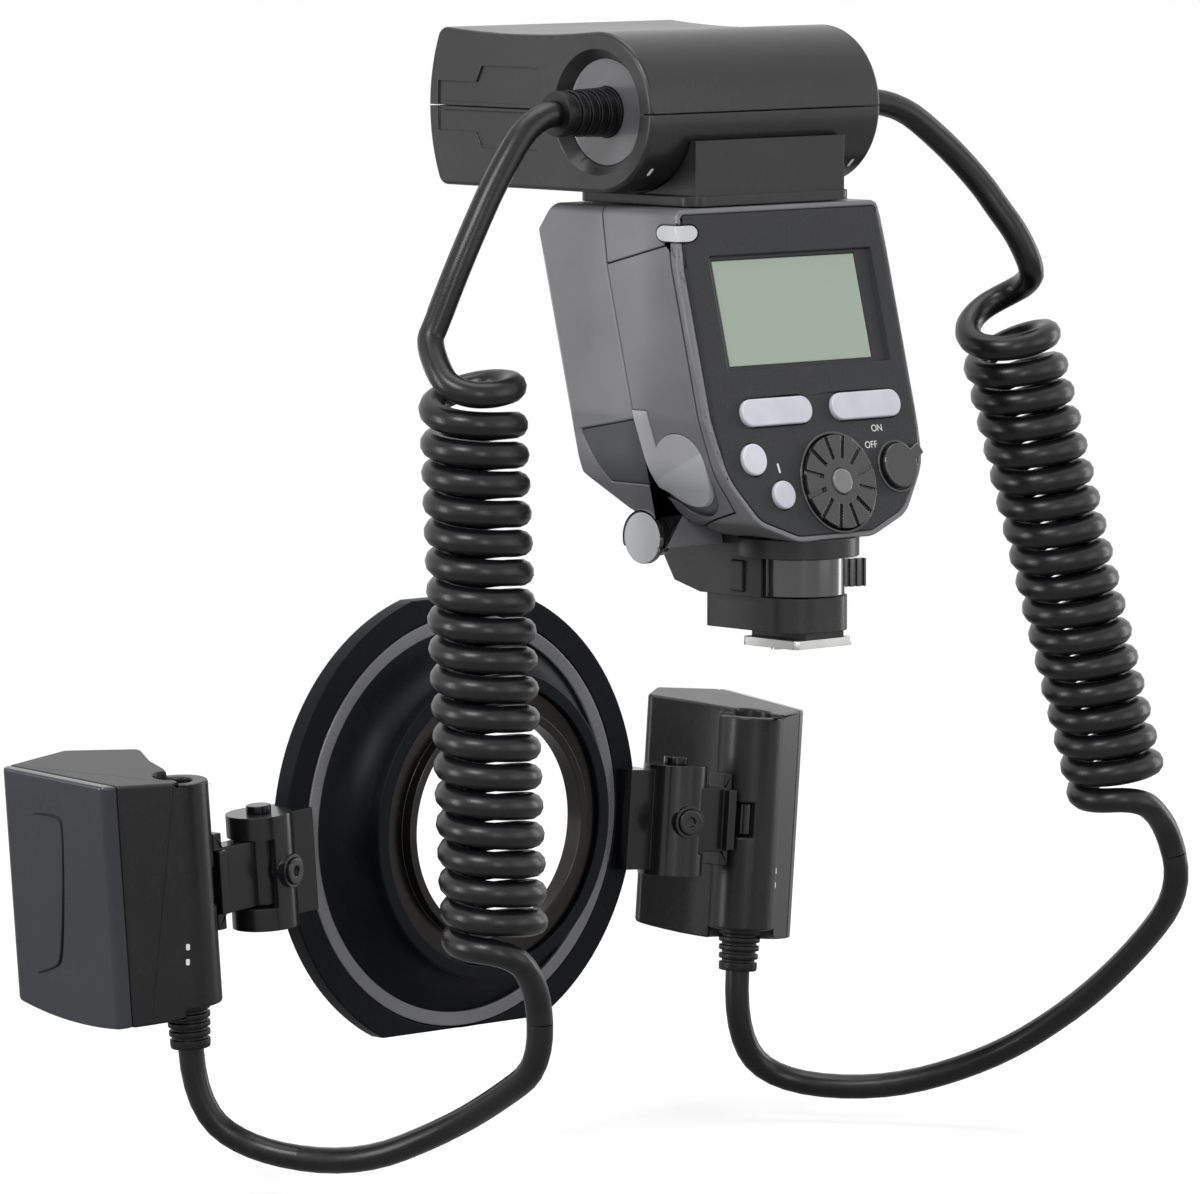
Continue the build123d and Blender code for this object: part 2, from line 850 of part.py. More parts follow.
def make_set_button():
    """The round button in the middle of the dial."""
    length = set_proud + dial_sink + dial_sleeve_length + set_radius / 3
    align = (Align.CENTER, Align.CENTER, Align.MAX)
    return panel_place(dial_x, dial_rise, -set_proud) * Cylinder(set_radius, length, align=align)


def make_switch():
    """The round power switch with its pointer lever."""
    align = (Align.CENTER, Align.CENTER, Align.MAX)
    top = panel_place(switch_x, switch_rise, -switch_proud)
    disc = top * Cylinder(switch_radius, switch_proud - part_gap, align=align)
    shaft = top * Cylinder(switch_shaft, switch_proud + panel_thick + button_flange_thick, align=align)
    lever_height = switch_proud - part_gap
    arm = Box(switch_lever_length, switch_lever_width, lever_height,
              align=(Align.MIN, Align.CENTER, Align.MAX))
    return disc + shaft + top * Rotation(0, 0, switch_lever_angle) * arm


def make_lcd():
    """The display window, seated in the panel's opening."""
    thick = panel_thick - bezel_depth
    return panel_place(lcd_x, lcd_rise, bezel_depth + thick / 2) * Box(lcd_width, lcd_height, thick)


def make_pilot():
    """The pilot lamp and test button, following the body's rounded corner."""
    z = panel_foot_z + pilot_rise * cos(lean)
    out = Vector(-sin(radians(pilot_turn)), -cos(radians(pilot_turn)), 0)
    shape = pilot_prism(0, 0) & body_solid(-pilot_proud)
    back = Vector(-body_half, rear_y(z), z) - out * (pilot_depth + body_rear_corner)
    return shape - rod(back - out * overrun, out, overrun + running_gap, pilot_length)


def make_cover():
    """The rubber flap over the terminals, flush with the body."""
    return (body_solid(0) - body_solid(cover_skin)) & cover_prism(0)


def make_aim_window():
    """The dark red window in the front wall."""
    return (body_solid(0) - body_solid(wall)) & aim_prism(0)


def make_side_cap():
    """The round cap in the end of its barrel."""
    disc = rod(cap_place(-cap_outer_x), (1, 0, 0), cap_thick, cap_radius)
    return disc + rod(cap_place(-cap_outer_x), (1, 0, 0), cap_thick + cap_plug_length, cap_plug_radius)


# Foot
def pin_places():
    """The centre contact and the four around it."""
    around = [
        (sx * contact_spacing_x, sy * contact_spacing_y - contact_front_shift)
        for sx in (-1, 1)
        for sy in (-1, 1)
    ]
    return [(0, 0)] + around


def foot_holes():
    """Holes for the contacts and the locking pin, through plate and housing."""
    holes = rod((0, lock_pin_place, -overrun), (0, 0, 1), lock_pin_length + 2 * overrun,
                lock_pin_radius + running_gap)
    for x, y in pin_places():
        length = contact_length + contact_proud + overrun
        holes += rod((x, y, -overrun), (0, 0, 1), length, contact_radius + running_gap)
    return holes


def make_foot_plate():
    """The metal foot, with its holes."""
    return prism_z(RectangleRounded(foot_width, foot_depth, foot_corner), 0, foot_thick) - foot_holes()


def make_foot_housing():
    """The fixed housing between foot and body: throat, block, post, collar and belly."""
    throat = block(-throat_width / 2, throat_width / 2, -foot_depth / 2, foot_depth / 2,
                   foot_thick, block_base_z)
    half = block_width / 2
    corners = [(-half, -block_rear), (half, -block_rear), (half, block_front), (-half, block_front)]
    bends = [block_rear_corner, block_rear_corner, block_front_corner, block_front_corner]
    base = prism_z(outline(corners, bends), block_base_z, block_top_z)
    post = rod((0, 0, block_base_z), (0, 0, 1), body_base_z - block_base_z, ring_bore - running_gap)
    collar = rod((0, 0, collar_base_z), (0, 0, 1), body_base_z - collar_base_z, collar_radius)
    belly_face = outline(
        [
            (0, block_top_z),
            (belly_front_low, block_top_z),
            (belly_nose_y, block_top_z + belly_nose_rise),
            (belly_brow_y, block_top_z + belly_brow_rise),
            (belly_brow_y, body_base_z + overrun + belly_brow_rise),
            (0, body_base_z + overrun + belly_brow_rise),
        ]
    )
    belly = prism_x(belly_face, -belly_half_width, belly_half_width) - body_solid(0)
    belly = belly & block(-far_reach, far_reach, 0, far_reach, 0, body_base_z + belly_brow_rise / 2)
    turning = rod((0, 0, block_top_z), (0, 0, 1), collar_base_z - block_top_z, ring_radius + part_gap)
    belly = belly - turning
    shape = throat + base + post + collar + belly
    return shape - foot_holes() - release_pocket()


def release_block(gap, depth):
    """The lock release button's shape at a depth into the left side."""
    mid_z = (ring_base_z + ring_top_z) / 2
    half_w = release_width / 2 + gap
    half_h = release_height / 2 + gap
    return block(-belly_half_width - release_proud, -belly_half_width + depth,
                 release_place_y - half_w, release_place_y + half_w, mid_z - half_h, mid_z + half_h)


def release_pocket():
    """The pocket that the release button slides in."""
    return release_block(button_gap, release_depth + release_proud)


def make_release():
    """The lock release button."""
    return release_block(0, release_depth)


def make_lock_ring():
    """The lock ring that turns on the post, with its ribbed tab."""
    drum = rod((0, 0, ring_base_z), (0, 0, 1), ring_height, ring_radius)
    tab = block(ring_bore + running_gap, tab_reach, -tab_width / 2, tab_width / 2,
                ring_base_z + tab_inset, ring_top_z - tab_inset)
    for k in (0, 1, 2):
        x = tab_reach - tab_groove_pitch * (k + 0.5)
        for side in (-1, 1):
            y = side * tab_width / 2
            tab = tab - block(x - tab_groove / 2, x + tab_groove / 2, y - tab_groove, y + tab_groove,
                              ring_base_z, ring_top_z)
    bore = rod((0, 0, ring_base_z - overrun), (0, 0, 1), ring_height + 2 * overrun, ring_bore)
    return drum + Rotation(0, 0, tab_angle) * tab - bore


def make_contacts():
    """The five sprung contacts."""
    pins = Part()
    for x, y in pin_places():
        pins += rod((x, y, -contact_proud), (0, 0, 1), contact_length, contact_radius)
    return pins


def make_lock_pin():
    """The pin that locks the foot in place."""
    return rod((0, lock_pin_place, -lock_pin_proud), (0, 0, 1), lock_pin_length, lock_pin_radius)


# Neck
def make_neck():
    """The turning plate with its pivot, the saddle behind the housing and the shaft lug."""
    mid_y = (neck_plate_rear + neck_plate_front) / 2
    plate = Pos(0, mid_y) * RectangleRounded(2 * neck_plate_half, neck_plate_front - neck_plate_rear,
                                             neck_plate_corner)
    shape = prism_z(plate, neck_base_z, neck_top_z)
    start = (0, housing_axis_y, neck_base_z - neck_boss_length)
    shape += rod(start, (0, 0, 1), neck_boss_length, neck_boss_radius)
    shape += rod(start, (0, 0, 1), neck_boss_length - neck_lift - wall - part_gap, neck_flange_radius)
    rear = housing_axis_y - housing_radius - saddle_lip
    saddle = block(-saddle_half, saddle_half, rear, housing_axis_y, neck_base_z,
                   neck_top_z + saddle_height)
    shape += saddle
    shape -= rod((-far_reach, housing_axis_y, housing_axis_z), (1, 0, 0), 2 * far_reach, saddle_radius)
    half = lug_thick / 2
    shape += block(-lug_half_width, lug_half_width, housing_axis_y - half, housing_axis_y + half,
                   neck_base_z, housing_axis_z)
    axis_start = (-lug_half_width, housing_axis_y, housing_axis_z)
    shape += rod(axis_start, (1, 0, 0), 2 * lug_half_width, lug_eye_radius)
    return shape - rod((-far_reach, housing_axis_y, housing_axis_z), (1, 0, 0), 2 * far_reach,
                       shaft_radius + running_gap)


# Cord housing
def housing_face(inset):
    """The housing's side outline: half round behind, bowed in front, with a shallow dip on top."""
    radius = housing_radius - inset
    y, z = housing_axis_y, housing_axis_z
    front = housing_front_y - inset
    middle = ((y + front) / 2, z + radius - housing_top_dip)
    top = ThreePointArc((y, z + radius), middle, (front, z + radius))
    nose = ThreePointArc((front, z + radius), (front + housing_bow, z), (front, z - radius))
    base = Line((front, z - radius), (y, z - radius))
    back = ThreePointArc((y, z - radius), (y - radius, z), (y, z + radius))
    face = make_face([top, nose, base, back])
    corners = [v for v in face.vertices() if v.X > (y + front) / 2]
    return fillet(corners, housing_nose)


def stow_cut(side):
    """The shallow stepped seat on one end face, with its middle bar left standing."""
    z = housing_axis_z
    front = housing_front_y + stow_front
    points = [
        (front, z + stow_narrow_half),
        (stow_step_y + stow_step_run, z + stow_narrow_half),
        (stow_step_y - stow_step_run, z + stow_wide_half),
        (stow_wide_start, z + stow_wide_half),
        (stow_wide_start, z - stow_wide_half),
        (stow_step_y - stow_step_run, z - stow_wide_half),
        (stow_step_y + stow_step_run, z - stow_narrow_half),
        (front, z - stow_narrow_half),
    ]
    inner = side * (housing_half - stow_depth)
    outer = side * (housing_half + overrun)
    seat = prism_x(outline(points), min(inner, outer), max(inner, outer))
    bar = block(-far_reach, far_reach, stow_wide_start - overrun, front - stow_bar_inset,
                z - stow_bar_half, z + stow_bar_half)
    return seat - bar


def end_dish(side):
    """The round dish in one end: its boss and the hollow cut into it."""
    axis = (side, 0, 0)
    floor = housing_half - disc_sink - disc_thick
    boss = rod((side * (floor - dish_wall), housing_axis_y, housing_axis_z), axis,
               disc_sink + disc_thick + dish_wall, dish_radius + dish_wall)
    cone = Plane(origin=(side * (housing_half - disc_sink), housing_axis_y, housing_axis_z), z_dir=axis)
    hollow = cone * Cone(disc_radius, dish_radius, disc_sink, align=(Align.CENTER, Align.CENTER, Align.MIN))
    hollow += rod((side * floor, housing_axis_y, housing_axis_z), axis, disc_thick, disc_radius)
    hollow += rod((side * (floor - dish_wall - overrun), housing_axis_y, housing_axis_z), axis,
                  dish_wall + 2 * overrun, relief_hole)
    return boss, hollow


def lug_slot():
    """The slot that lets the lug pass while the housing tilts."""
    spread = degrees(atan2(lug_thick / 2 + part_gap, housing_radius - wall))
    start = radians(270 - tilt_most - spread)
    end = radians(270 + spread)
    reach = housing_radius * 2
    points = [(housing_axis_y, housing_axis_z)]
    steps = 4
    for k in range(steps + 1):
        a = start + (end - start) * k / steps
        points.append((housing_axis_y + reach * cos(a), housing_axis_z + reach * sin(a)))
    half = lug_half_width + part_gap
    return prism_x(outline(points), -half, half)


def make_housing():
    """Upper and lower shells of the cord housing."""
    outer = prism_x(housing_face(0), -housing_half, housing_half)
    ends = outer.faces().sort_by(Axis.X)
    outer = fillet(ends[0].edges() + ends[-1].edges(), housing_edge)
    inner = prism_x(housing_face(wall), -housing_half + wall, housing_half - wall)
    form = outer - inner
    for side in (-1, 1):
        boss, hollow = end_dish(side)
        form = form + (boss & outer) - hollow - stow_cut(side)
    low = block(-far_reach, far_reach, -far_reach, far_reach, -far_reach, housing_axis_z - seam_gap / 2)
    high = block(-far_reach, far_reach, -far_reach, far_reach, housing_axis_z + seam_gap / 2, far_reach * 2)
    lower = (form & low) - lug_slot()
    for side in (-1, 1):
        start = side * rib_start
        stop = side * (rib_start + rib_thick)
        rib = block(min(start, stop), max(start, stop), housing_axis_y - rib_half_depth,
                    housing_axis_y + rib_half_depth, housing_axis_z - housing_radius,
                    housing_axis_z + rib_rise)
        lower = lower + (rib & prism_x(housing_face(wall / 2), -housing_half, housing_half))
    lower = lower - rod((-far_reach, housing_axis_y, housing_axis_z), (1, 0, 0), 2 * far_reach, shaft_radius)
    upper = form & high
    return upper, lower


def make_discs():
    """The two light discs at the bottoms of the dishes."""
    discs = Part()
    for side in (-1, 1):
        start = (side * (housing_half - disc_sink - disc_thick), housing_axis_y, housing_axis_z)
        disc = rod(start, (side, 0, 0), disc_thick, disc_radius - running_gap)
        discs += disc - rod(start, (side, 0, 0), disc_thick * 2, relief_root + running_gap)
    return discs


def relief(start, direction, length, root, tip, ribs, plug_radius, plug_length):
    """A ribbed, tapering strain relief with a plug that goes into the wall behind it."""
    place = Plane(origin=start, z_dir=direction)
    pitch = length / ribs
    points = [(0, -plug_length), (plug_radius, -plug_length), (plug_radius, 0)]
    for k in range(ribs):
        r0 = root + (tip - root) * k / ribs
        rib_end = pitch * (k + relief_rib_share)
        points += [(r0, pitch * k), (r0, rib_end)]
        if k < ribs - 1:
            points += [(r0 - relief_groove, rib_end), (r0 - relief_groove, pitch * (k + 1))]
    points += [(tip, length), (0, length)]
    section = Plane.XZ * outline(points)
    return place * revolve(section, Axis.Z)


def make_housing_reliefs():
    """The strain reliefs on the tilt axis, one each side."""
    pair = Part()
    for side in (-1, 1):
        start = (side * (housing_half - disc_sink - disc_thick), housing_axis_y, housing_axis_z)
        pair += relief(start, (side, 0, 0), relief_reach + disc_thick, relief_root, relief_tip,
                       relief_ribs, relief_hole, relief_plug)
    return pair


def make_shaft():
    """The shaft that the housing tilts on."""
    return rod((-shaft_half, housing_axis_y, housing_axis_z), (1, 0, 0), 2 * shaft_half, shaft_radius)


# Cords
def straight_tube(path, start, direction):
    """A round tube along a path."""
    section = Plane(origin=start, z_dir=direction) * Circle(cord_diameter / 2)
    return sweep(section, path=path)


def corner_radii(points):
    """One radius per corner, so that each bend uses its share of the shorter run beside it."""
    radii = []
    for before, here, after in zip(points, points[1:], points[2:]):
        run_in = Vector(*here) - Vector(*before)
        run_out = Vector(*after) - Vector(*here)
        turn = radians(run_in.get_angle(run_out))
        radii.append(bend_share * min(run_in.length, run_out.length) / tan(turn / 2))
    return radii


def make_cord(name, points):
    """A plain stretch of cord through its points, with its figures printed."""
    plain = [tuple(Vector(*p)) for p in points]
    radii = corner_radii(plain)
    path = FilletPolyline(*plain, radius=radii)
    tube = straight_tube(path, plain[0], Vector(*plain[1]) - Vector(*plain[0]))
    ideal = path.length * pi * (cord_diameter / 2) ** 2
    print(name, "radii", [round(r, 1) for r in radii], "length", round(path.length, 1),
          "volume ratio", round(tube.volume / ideal, 4))
    return tube


def coil_frame(top, end):
    """Directions of a coil: along it and two across it, from which its turns are counted."""
    down = (Vector(*end) - Vector(*top)).normalized()
    right = (coil_side - down * coil_side.dot(down)).normalized()
    return down, right, down.cross(right)


def coil_point(top, end, start_angle, angle):
    """A point on the coil and the direction of the cord there."""
    down, right, near = coil_frame(top, end)
    a = start_angle + angle
    slope = (cord_diameter + coil_gap) / (2 * pi)
    point = Vector(*top) + near * (coil_radius * cos(a)) + right * (coil_radius * sin(a))
    run = right * (coil_radius * cos(a)) - near * (coil_radius * sin(a)) + down * slope
    return point + down * (slope * angle), run.normalized()


def biarc(p0, t0, p1, t1):
    """Two arcs that join two points with given directions."""
    chord = p1 - p0
    along = chord.dot(t0 + t1)
    bend = 2 * (1 - t0.dot(t1))
    d = (-along + sqrt(along * along + bend * chord.dot(chord))) / bend
    middle = (p0 + p1 + (t0 - t1) * d) / 2
    turned = (p1 - t1 * d) - (p0 + t0 * d)
    return [
        Edge.make_tangent_arc(p0, t0, middle),
        Edge.make_tangent_arc(middle, turned.normalized(), p1),
    ]


def coil_ends(top, end, turns, start_angle):
    """The outer ends of a coil, after the arcs that lead into and out of it."""
    down = coil_frame(top, end)[0]
    first, run_in = coil_point(top, end, start_angle, 0)
    last, run_out = coil_point(top, end, start_angle, 2 * pi * turns)
    lead_in = coil_lead * tan(acos(down.dot(run_in)) / 2)
    lead_out = coil_lead * tan(acos(down.dot(run_out)) / 2)
    return first - run_in * lead_in - down * lead_in, last + run_out * lead_out + down * lead_out


def make_coil(name, top, end, turns, start_angle):
    """The curly part of a cord, with a quarter bend and a short straight at each end."""
    down = coil_frame(top, end)[0]
    enter, leave = coil_ends(top, end, turns, start_angle)
    steps = int(turns * 4)
    places = [coil_point(top, end, start_angle, pi / 2 * k) for k in range(steps + 1)]
    start = enter - down * cord_diameter
    edges = [Edge.make_line(start, enter), Edge.make_tangent_arc(enter, down, places[0][0])]
    for (p0, t0), (p1, t1) in zip(places, places[1:]):
        edges += biarc(p0, t0, p1, t1)
    edges.append(Edge.make_tangent_arc(places[-1][0], places[-1][1], leave))
    edges.append(Edge.make_line(leave, leave + down * cord_diameter))
    tube = straight_tube(Wire(edges), start, down)
    length = sum(e.length for e in edges)
    ideal = length * pi * (cord_diameter / 2) ** 2
    print(name, "length", round(length, 1), "volume ratio", round(tube.volume / ideal, 4),
          "self gap", round(self_gap(edges), 3))
    return tube


def self_gap(edges):
    """The least gap between a coil's neighbouring turns."""
    marks = []
    walked = 0
    for edge in edges:
        for k in range(gap_marks):
            marks.append((walked + edge.length * k / gap_marks, edge.position_at(k / gap_marks)))
        walked += edge.length
    least = far_reach
    near = gap_near_diameters * cord_diameter
    far = gap_far_diameters * cord_diameter
    for i, (s0, p0) in enumerate(marks):
        for s1, p1 in marks[i + 1:]:
            if near < s1 - s0 < far:
                least = min(least, (p1 - p0).length)
    return least - cord_diameter


def left_coil():
    """What describes the left coil."""
    return coil_left_top, coil_left_end, coil_turns_left, 0


def right_coil():
    """What describes the right coil."""
    return coil_right_top, coil_right_end, coil_turns_right, pi


def upper_route(side, coil, bends, exit_run):
    """From the strain relief on the housing down to the coil."""
    down = coil_frame(coil[0], coil[1])[0]
    enter = coil_ends(*coil)[0] - down * cord_diameter
    tip = Vector(side * (housing_half - disc_sink + relief_reach), housing_axis_y, housing_axis_z)
    first = tip + Vector(side * exit_run, 0, 0)
    return [tip, first] + [Vector(*b) for b in bends] + [enter - down * coil_entry_run, enter]


def lower_route(side, coil, bends):
    """From the coil down, forward and up to the head's strain relief."""
    down = coil_frame(coil[0], coil[1])[0]
    leave = coil_ends(*coil)[1] + down * cord_diameter
    drop = radians(clip_drop_angle)
    reach = -barrel_low - head_relief_length
    x = barrel_r * cos(drop) + reach * sin(drop)
    z = ring_axis_z - barrel_r * sin(drop) + reach * cos(drop)
    tip = Vector(side * x, barrel_y, z)
    below = tip + Vector(-side * sin(drop), 0, -cos(drop)) * head_entry_run
    return [leave, leave + down * coil_exit_run] + [Vector(*b) for b in bends] + [below, tip]


# Ring
def ring_turn(face):
    """A section, drawn as distance from the ring's axis against Y, turned about that axis."""
    return Pos(0, 0, ring_axis_z) * revolve(face, Axis.Y)


def ring_rod(radius, y0, y1):
    """A cylinder about the ring's axis."""
    return rod((0, y0, ring_axis_z), (0, 1, 0), y1 - y0, radius)


def bell_arc(start, end):
    """One hollow curve of the bell."""
    a, b = Vector(*start), Vector(*end)
    run = b - a
    middle = (a + b) / 2 + Vector(-run.Y, run.X).normalized() * bell_sag
    return ThreePointArc(a, middle, b)


def ring_button_block(gap, low, high):
    """The release button's shape between two heights on the rim's upper flat."""
    flat = ring_axis_z + rim_flat_high
    middle = (rim_rear_y + rim_front_y) / 2
    half_x = ring_button_length / 2 + gap
    half_y = ring_button_width / 2 + gap
    return block(-half_x, half_x, middle - half_y, middle + half_y, flat + low, flat + high)


def make_ring_body():
    """The rim and the bell that narrows behind it."""
    neck_outer = bell_neck_radius + bell_neck_wall
    rear_start = (neck_outer, bell_neck_y + bell_neck_length)
    lip = (rim_inner, rim_rear_y + rim_edge)
    front_start = (bell_neck_radius, bell_neck_y + bell_neck_length + bell_wall)
    front_end = (bell_front_radius, rim_front_y)
    edges = [
        bell_arc(rear_start, lip),
        Line(lip, (rim_inner, rim_rear_y)),
        Line((rim_inner, rim_rear_y), (rim_radius, rim_rear_y)),
        Line((rim_radius, rim_rear_y), (rim_radius, rim_front_y)),
        Line((rim_radius, rim_front_y), front_end),
        bell_arc(front_start, front_end),
        Line(front_start, (bell_neck_radius, bell_neck_y)),
        Line((bell_neck_radius, bell_neck_y), (neck_outer, bell_neck_y)),
        Line((neck_outer, bell_neck_y), rear_start),
    ]
    ring = ring_turn(make_face(edges))
    ring = ring & block(-far_reach, far_reach, 0, far_reach,
                        ring_axis_z - rim_flat_low, ring_axis_z + rim_flat_high)
    return ring - ring_button_block(button_gap, -2 * ring_button_depth, overrun)


def make_adapter():
    """The threaded ring held in the bell's neck."""
    flange_end = adapter_rear_y + adapter_flange_thick
    shape = ring_rod(bell_neck_radius, adapter_rear_y, flange_end)
    shape += ring_rod(adapter_thread_radius, adapter_rear_y - adapter_thread_length, flange_end)
    return shape - ring_rod(adapter_bore, 0, far_reach)


def make_ring_button():
    """The release button on the rim."""
    return ring_button_block(0, -ring_button_depth, ring_button_proud)


# Clip, arm and head are drawn for the left side, level with the ring's axis, then dropped by an angle
def seat(shape):
    """Moves a level left-hand shape to its place on the ring."""
    return Pos(0, 0, ring_axis_z) * Rotation(0, -clip_drop_angle, 0) * shape


def axis_rod(radius, y0, y1):
    """A cylinder about the ring's axis before the drop."""
    return rod((0, y0, 0), (0, 1, 0), y1 - y0, radius)


def upright(x, y, z0, z1, radius):
    """An upright cylinder before the drop."""
    return rod((x, y, z0), (0, 0, 1), z1 - z0, radius)


def wedge(x, y, reach, middle_angle, spread, z0, z1):
    """An upright wedge about a point, open towards an angle."""
    points = [(x, y)]
    for k in range(sleeve_steps + 1):
        a = radians(middle_angle - spread + 2 * spread * k / sleeve_steps)
        points.append((x + reach * cos(a), y + reach * sin(a)))
    return prism_z(outline(points), z0, z1)


def clip_button_rod(start, end, radius):
    """A cylinder along the clip button's axis, from the knuckle outward."""
    angle = radians(clip_button_angle)
    way = Vector(cos(angle), sin(angle), 0)
    middle = Vector(-knuckle_r, knuckle_y, 0)
    return rod(middle + way * start, way, end - start, radius)


def make_clip():
    """The clip that rides on the rim, with its two ears and the sleeve between them."""
    outer = -knuckle_r + (sleeve_bore + ear_radius) / 2
    rear = rim_rear_y - running_gap - jaw_rear_thick
    front = rim_front_y + running_gap + jaw_front_thick
    jaw = block(outer, -rim_radius + jaw_reach, rear, front, -jaw_half_height, jaw_half_height)
    jaw = jaw - axis_rod(rim_radius + part_gap, rim_rear_y - running_gap, rim_front_y + running_gap)
    jaw = jaw - axis_rod(rim_radius - jaw_reach, 0, far_reach)
    x, y = -knuckle_r, knuckle_y
    gap_z = ear_half_height - ear_thick
    drum = upright(x, y, -ear_half_height, ear_half_height, ear_radius)
    keep = upright(x, y, -ear_half_height, ear_half_height, ear_radius)
    keep = keep - wedge(x, y, 2 * ear_radius, 180, 180 - sleeve_spread, -gap_z, gap_z)
    bezel = clip_button_rod(sleeve_bore, ear_radius + clip_button_seat, clip_button_radius + clip_button_rim)
    shape = (drum & keep) + jaw + bezel
    shape = shape - upright(x, y, -gap_z, gap_z, sleeve_bore)
    shape = shape - upright(x, y, -ear_half_height - overrun, ear_half_height + overrun, pin_radius)
    pocket = clip_button_back - clip_button_floor
    shape = shape - clip_button_rod(pocket, 2 * ear_radius, clip_button_radius + button_gap)
    return seat(shape - axis_rod(rim_radius + part_gap, rim_rear_y - running_gap,
                                 rim_front_y + running_gap))


def make_clip_button():
    """The round release button on the clip, with its hole."""
    end = ear_radius + clip_button_seat + clip_button_proud
    shape = clip_button_rod(clip_button_back, end, clip_button_radius)
    return seat(shape - clip_button_rod(end - clip_button_floor, end + overrun, clip_button_hole))


def make_knuckle_pin():
    """The headed pin through the clip's ears."""
    x, y = -knuckle_r, knuckle_y
    shape = upright(x, y, -ear_half_height, ear_half_height + pin_head, pin_radius)
    return seat(shape + upright(x, y, ear_half_height, ear_half_height + pin_head, pin_head_radius))


def make_arm():
    """The link between clip and head: knuckle, side plate with hooks, and tongue."""
    x, y = -knuckle_r, knuckle_y
    bx, by = -barrel_r, barrel_y
    plate_x = bx + barrel_radius + part_gap
    shape = upright(x, y, -arm_half_height, arm_half_height, knuckle_radius)
    shape += block(plate_x, x, y - arm_half_width, y + arm_half_width, -arm_half_height, arm_half_height)
    shape += block(plate_x, plate_x + plate_thick, y - plate_half_width, y + plate_half_width,
                   -plate_half_height, plate_half_height)
    high = arm_half_height + hook_height
    shape += block(plate_x, plate_x + plate_thick, y - arm_half_width, y + arm_half_width, -high, high)
    shape += block(bx, plate_x + plate_thick, by - tongue_half_width, by + tongue_half_width,
                   -tongue_half_height, tongue_half_height)
    shape += upright(bx, by, -tongue_half_height, tongue_half_height, eye_radius)
    shape = shape - upright(x, y, -far_reach, far_reach, pin_radius + running_gap)
    return seat(shape - upright(bx, by, -far_reach, far_reach, barrel_pin_radius + running_gap))


def head_plan(inset):
    """The head's outline from above."""
    points = [(-barrel_r - u, barrel_y + v) for u, v in head_outline]
    return rounded_in(points, [head_corner] * 4 + [running_gap] * 3, inset)


def head_form(inset):
    """The head without its barrel: plan and side outline crossed."""
    rear = barrel_y - 2 * barrel_radius
    front = barrel_y + max(v for u, v in head_outline) + overrun
    top = barrel_high - inset
    base = -barrel_low + inset
    side = make_face(
        [
            Line((rear, top), (front, top + head_top_rise)),
            Line((front, top + head_top_rise), (front, base + head_base_rise)),
            ThreePointArc((front, base + head_base_rise), (barrel_y + barrel_radius, base - head_base_bulge),
                          (rear, base)),
            Line((rear, base), (rear, top)),
        ]
    )
    tall = barrel_low + barrel_high
    return prism_z(head_plan(inset), -tall, tall) & prism_x(side, -far_reach, 0)


def cap_zone():
    """The slice on the head's outer side that the glossy cover fills."""
    rear = Vector(-barrel_r - head_outline[0][0], barrel_y + head_outline[0][1])
    front = Vector(-barrel_r - head_outline[1][0], barrel_y + head_outline[1][1])
    along = (front - rear).normalized()
    inward = Vector(along.Y, -along.X) * head_cap_thick
    far = Vector(-along.Y, along.X) * far_reach
    a = rear - along * far_reach
    b = front + along * far_reach
    corners = [a + inward, b + inward, b + far, a + far]
    tall = barrel_low + barrel_high
    return prism_z(outline([(c.X, c.Y) for c in corners]), -tall, tall)


def window_place():
    """The middle of the head's front face, with Z pointing out of it."""
    a = Vector(-barrel_r - head_outline[1][0], barrel_y + head_outline[1][1])
    b = Vector(-barrel_r - head_outline[2][0], barrel_y + head_outline[2][1])
    way = (b - a).normalized()
    width = (b - a).length - head_cap_thick - 2 * (head_wall + window_inset)
    middle = a + way * (head_cap_thick + head_wall + window_inset + width / 2)
    height = barrel_low + barrel_high - 2 * (head_wall + window_inset) - head_base_rise
    frame = Plane(origin=(middle.X, middle.Y, (barrel_high - barrel_low + head_top_rise) / 2),
                  x_dir=way * -1, z_dir=(-way.Y, way.X, 0))
    return frame, width, height


def make_head():
    """The head's shell: barrel, hollow body and openings."""
    bx, by = -barrel_r, barrel_y
    barrel = upright(bx, by, -barrel_low, barrel_high, barrel_radius)
    under = upright(bx, by, -2 * barrel_low, -barrel_low, barrel_radius + running_gap)
    hollow = head_form(head_wall) - upright(bx, by, -far_reach, far_reach, barrel_radius + head_wall / 2)
    shape = (head_form(0) - cap_zone()) - hollow - under + barrel
    frame, width, height = window_place()
    shape = shape - frame * Box(width, height, 2 * (head_wall + overrun))
    reach = barrel_radius * 2
    spread = turn_swing + degrees(atan2(tongue_half_width + part_gap, eye_radius))
    pocket = tongue_half_height + part_gap
    shape = shape - wedge(bx, by, reach, 0, spread, -pocket, pocket)
    shape = shape - upright(bx, by, -pocket, pocket, eye_radius + part_gap)
    shape = shape - upright(bx, by, -barrel_pin_low, barrel_high + overrun, barrel_pin_radius)
    hole_floor = barrel_high - barrel_hole_depth
    shape = shape - upright(bx, by, hole_floor, barrel_high + overrun, barrel_hole_radius)
    plug = head_relief_root - relief_groove
    return seat(shape - upright(bx, by, -barrel_low - overrun, -barrel_low + relief_plug, plug))


def make_head_cap():
    """The glossy cover on the head's outer side."""
    return seat(head_form(0) & cap_zone())


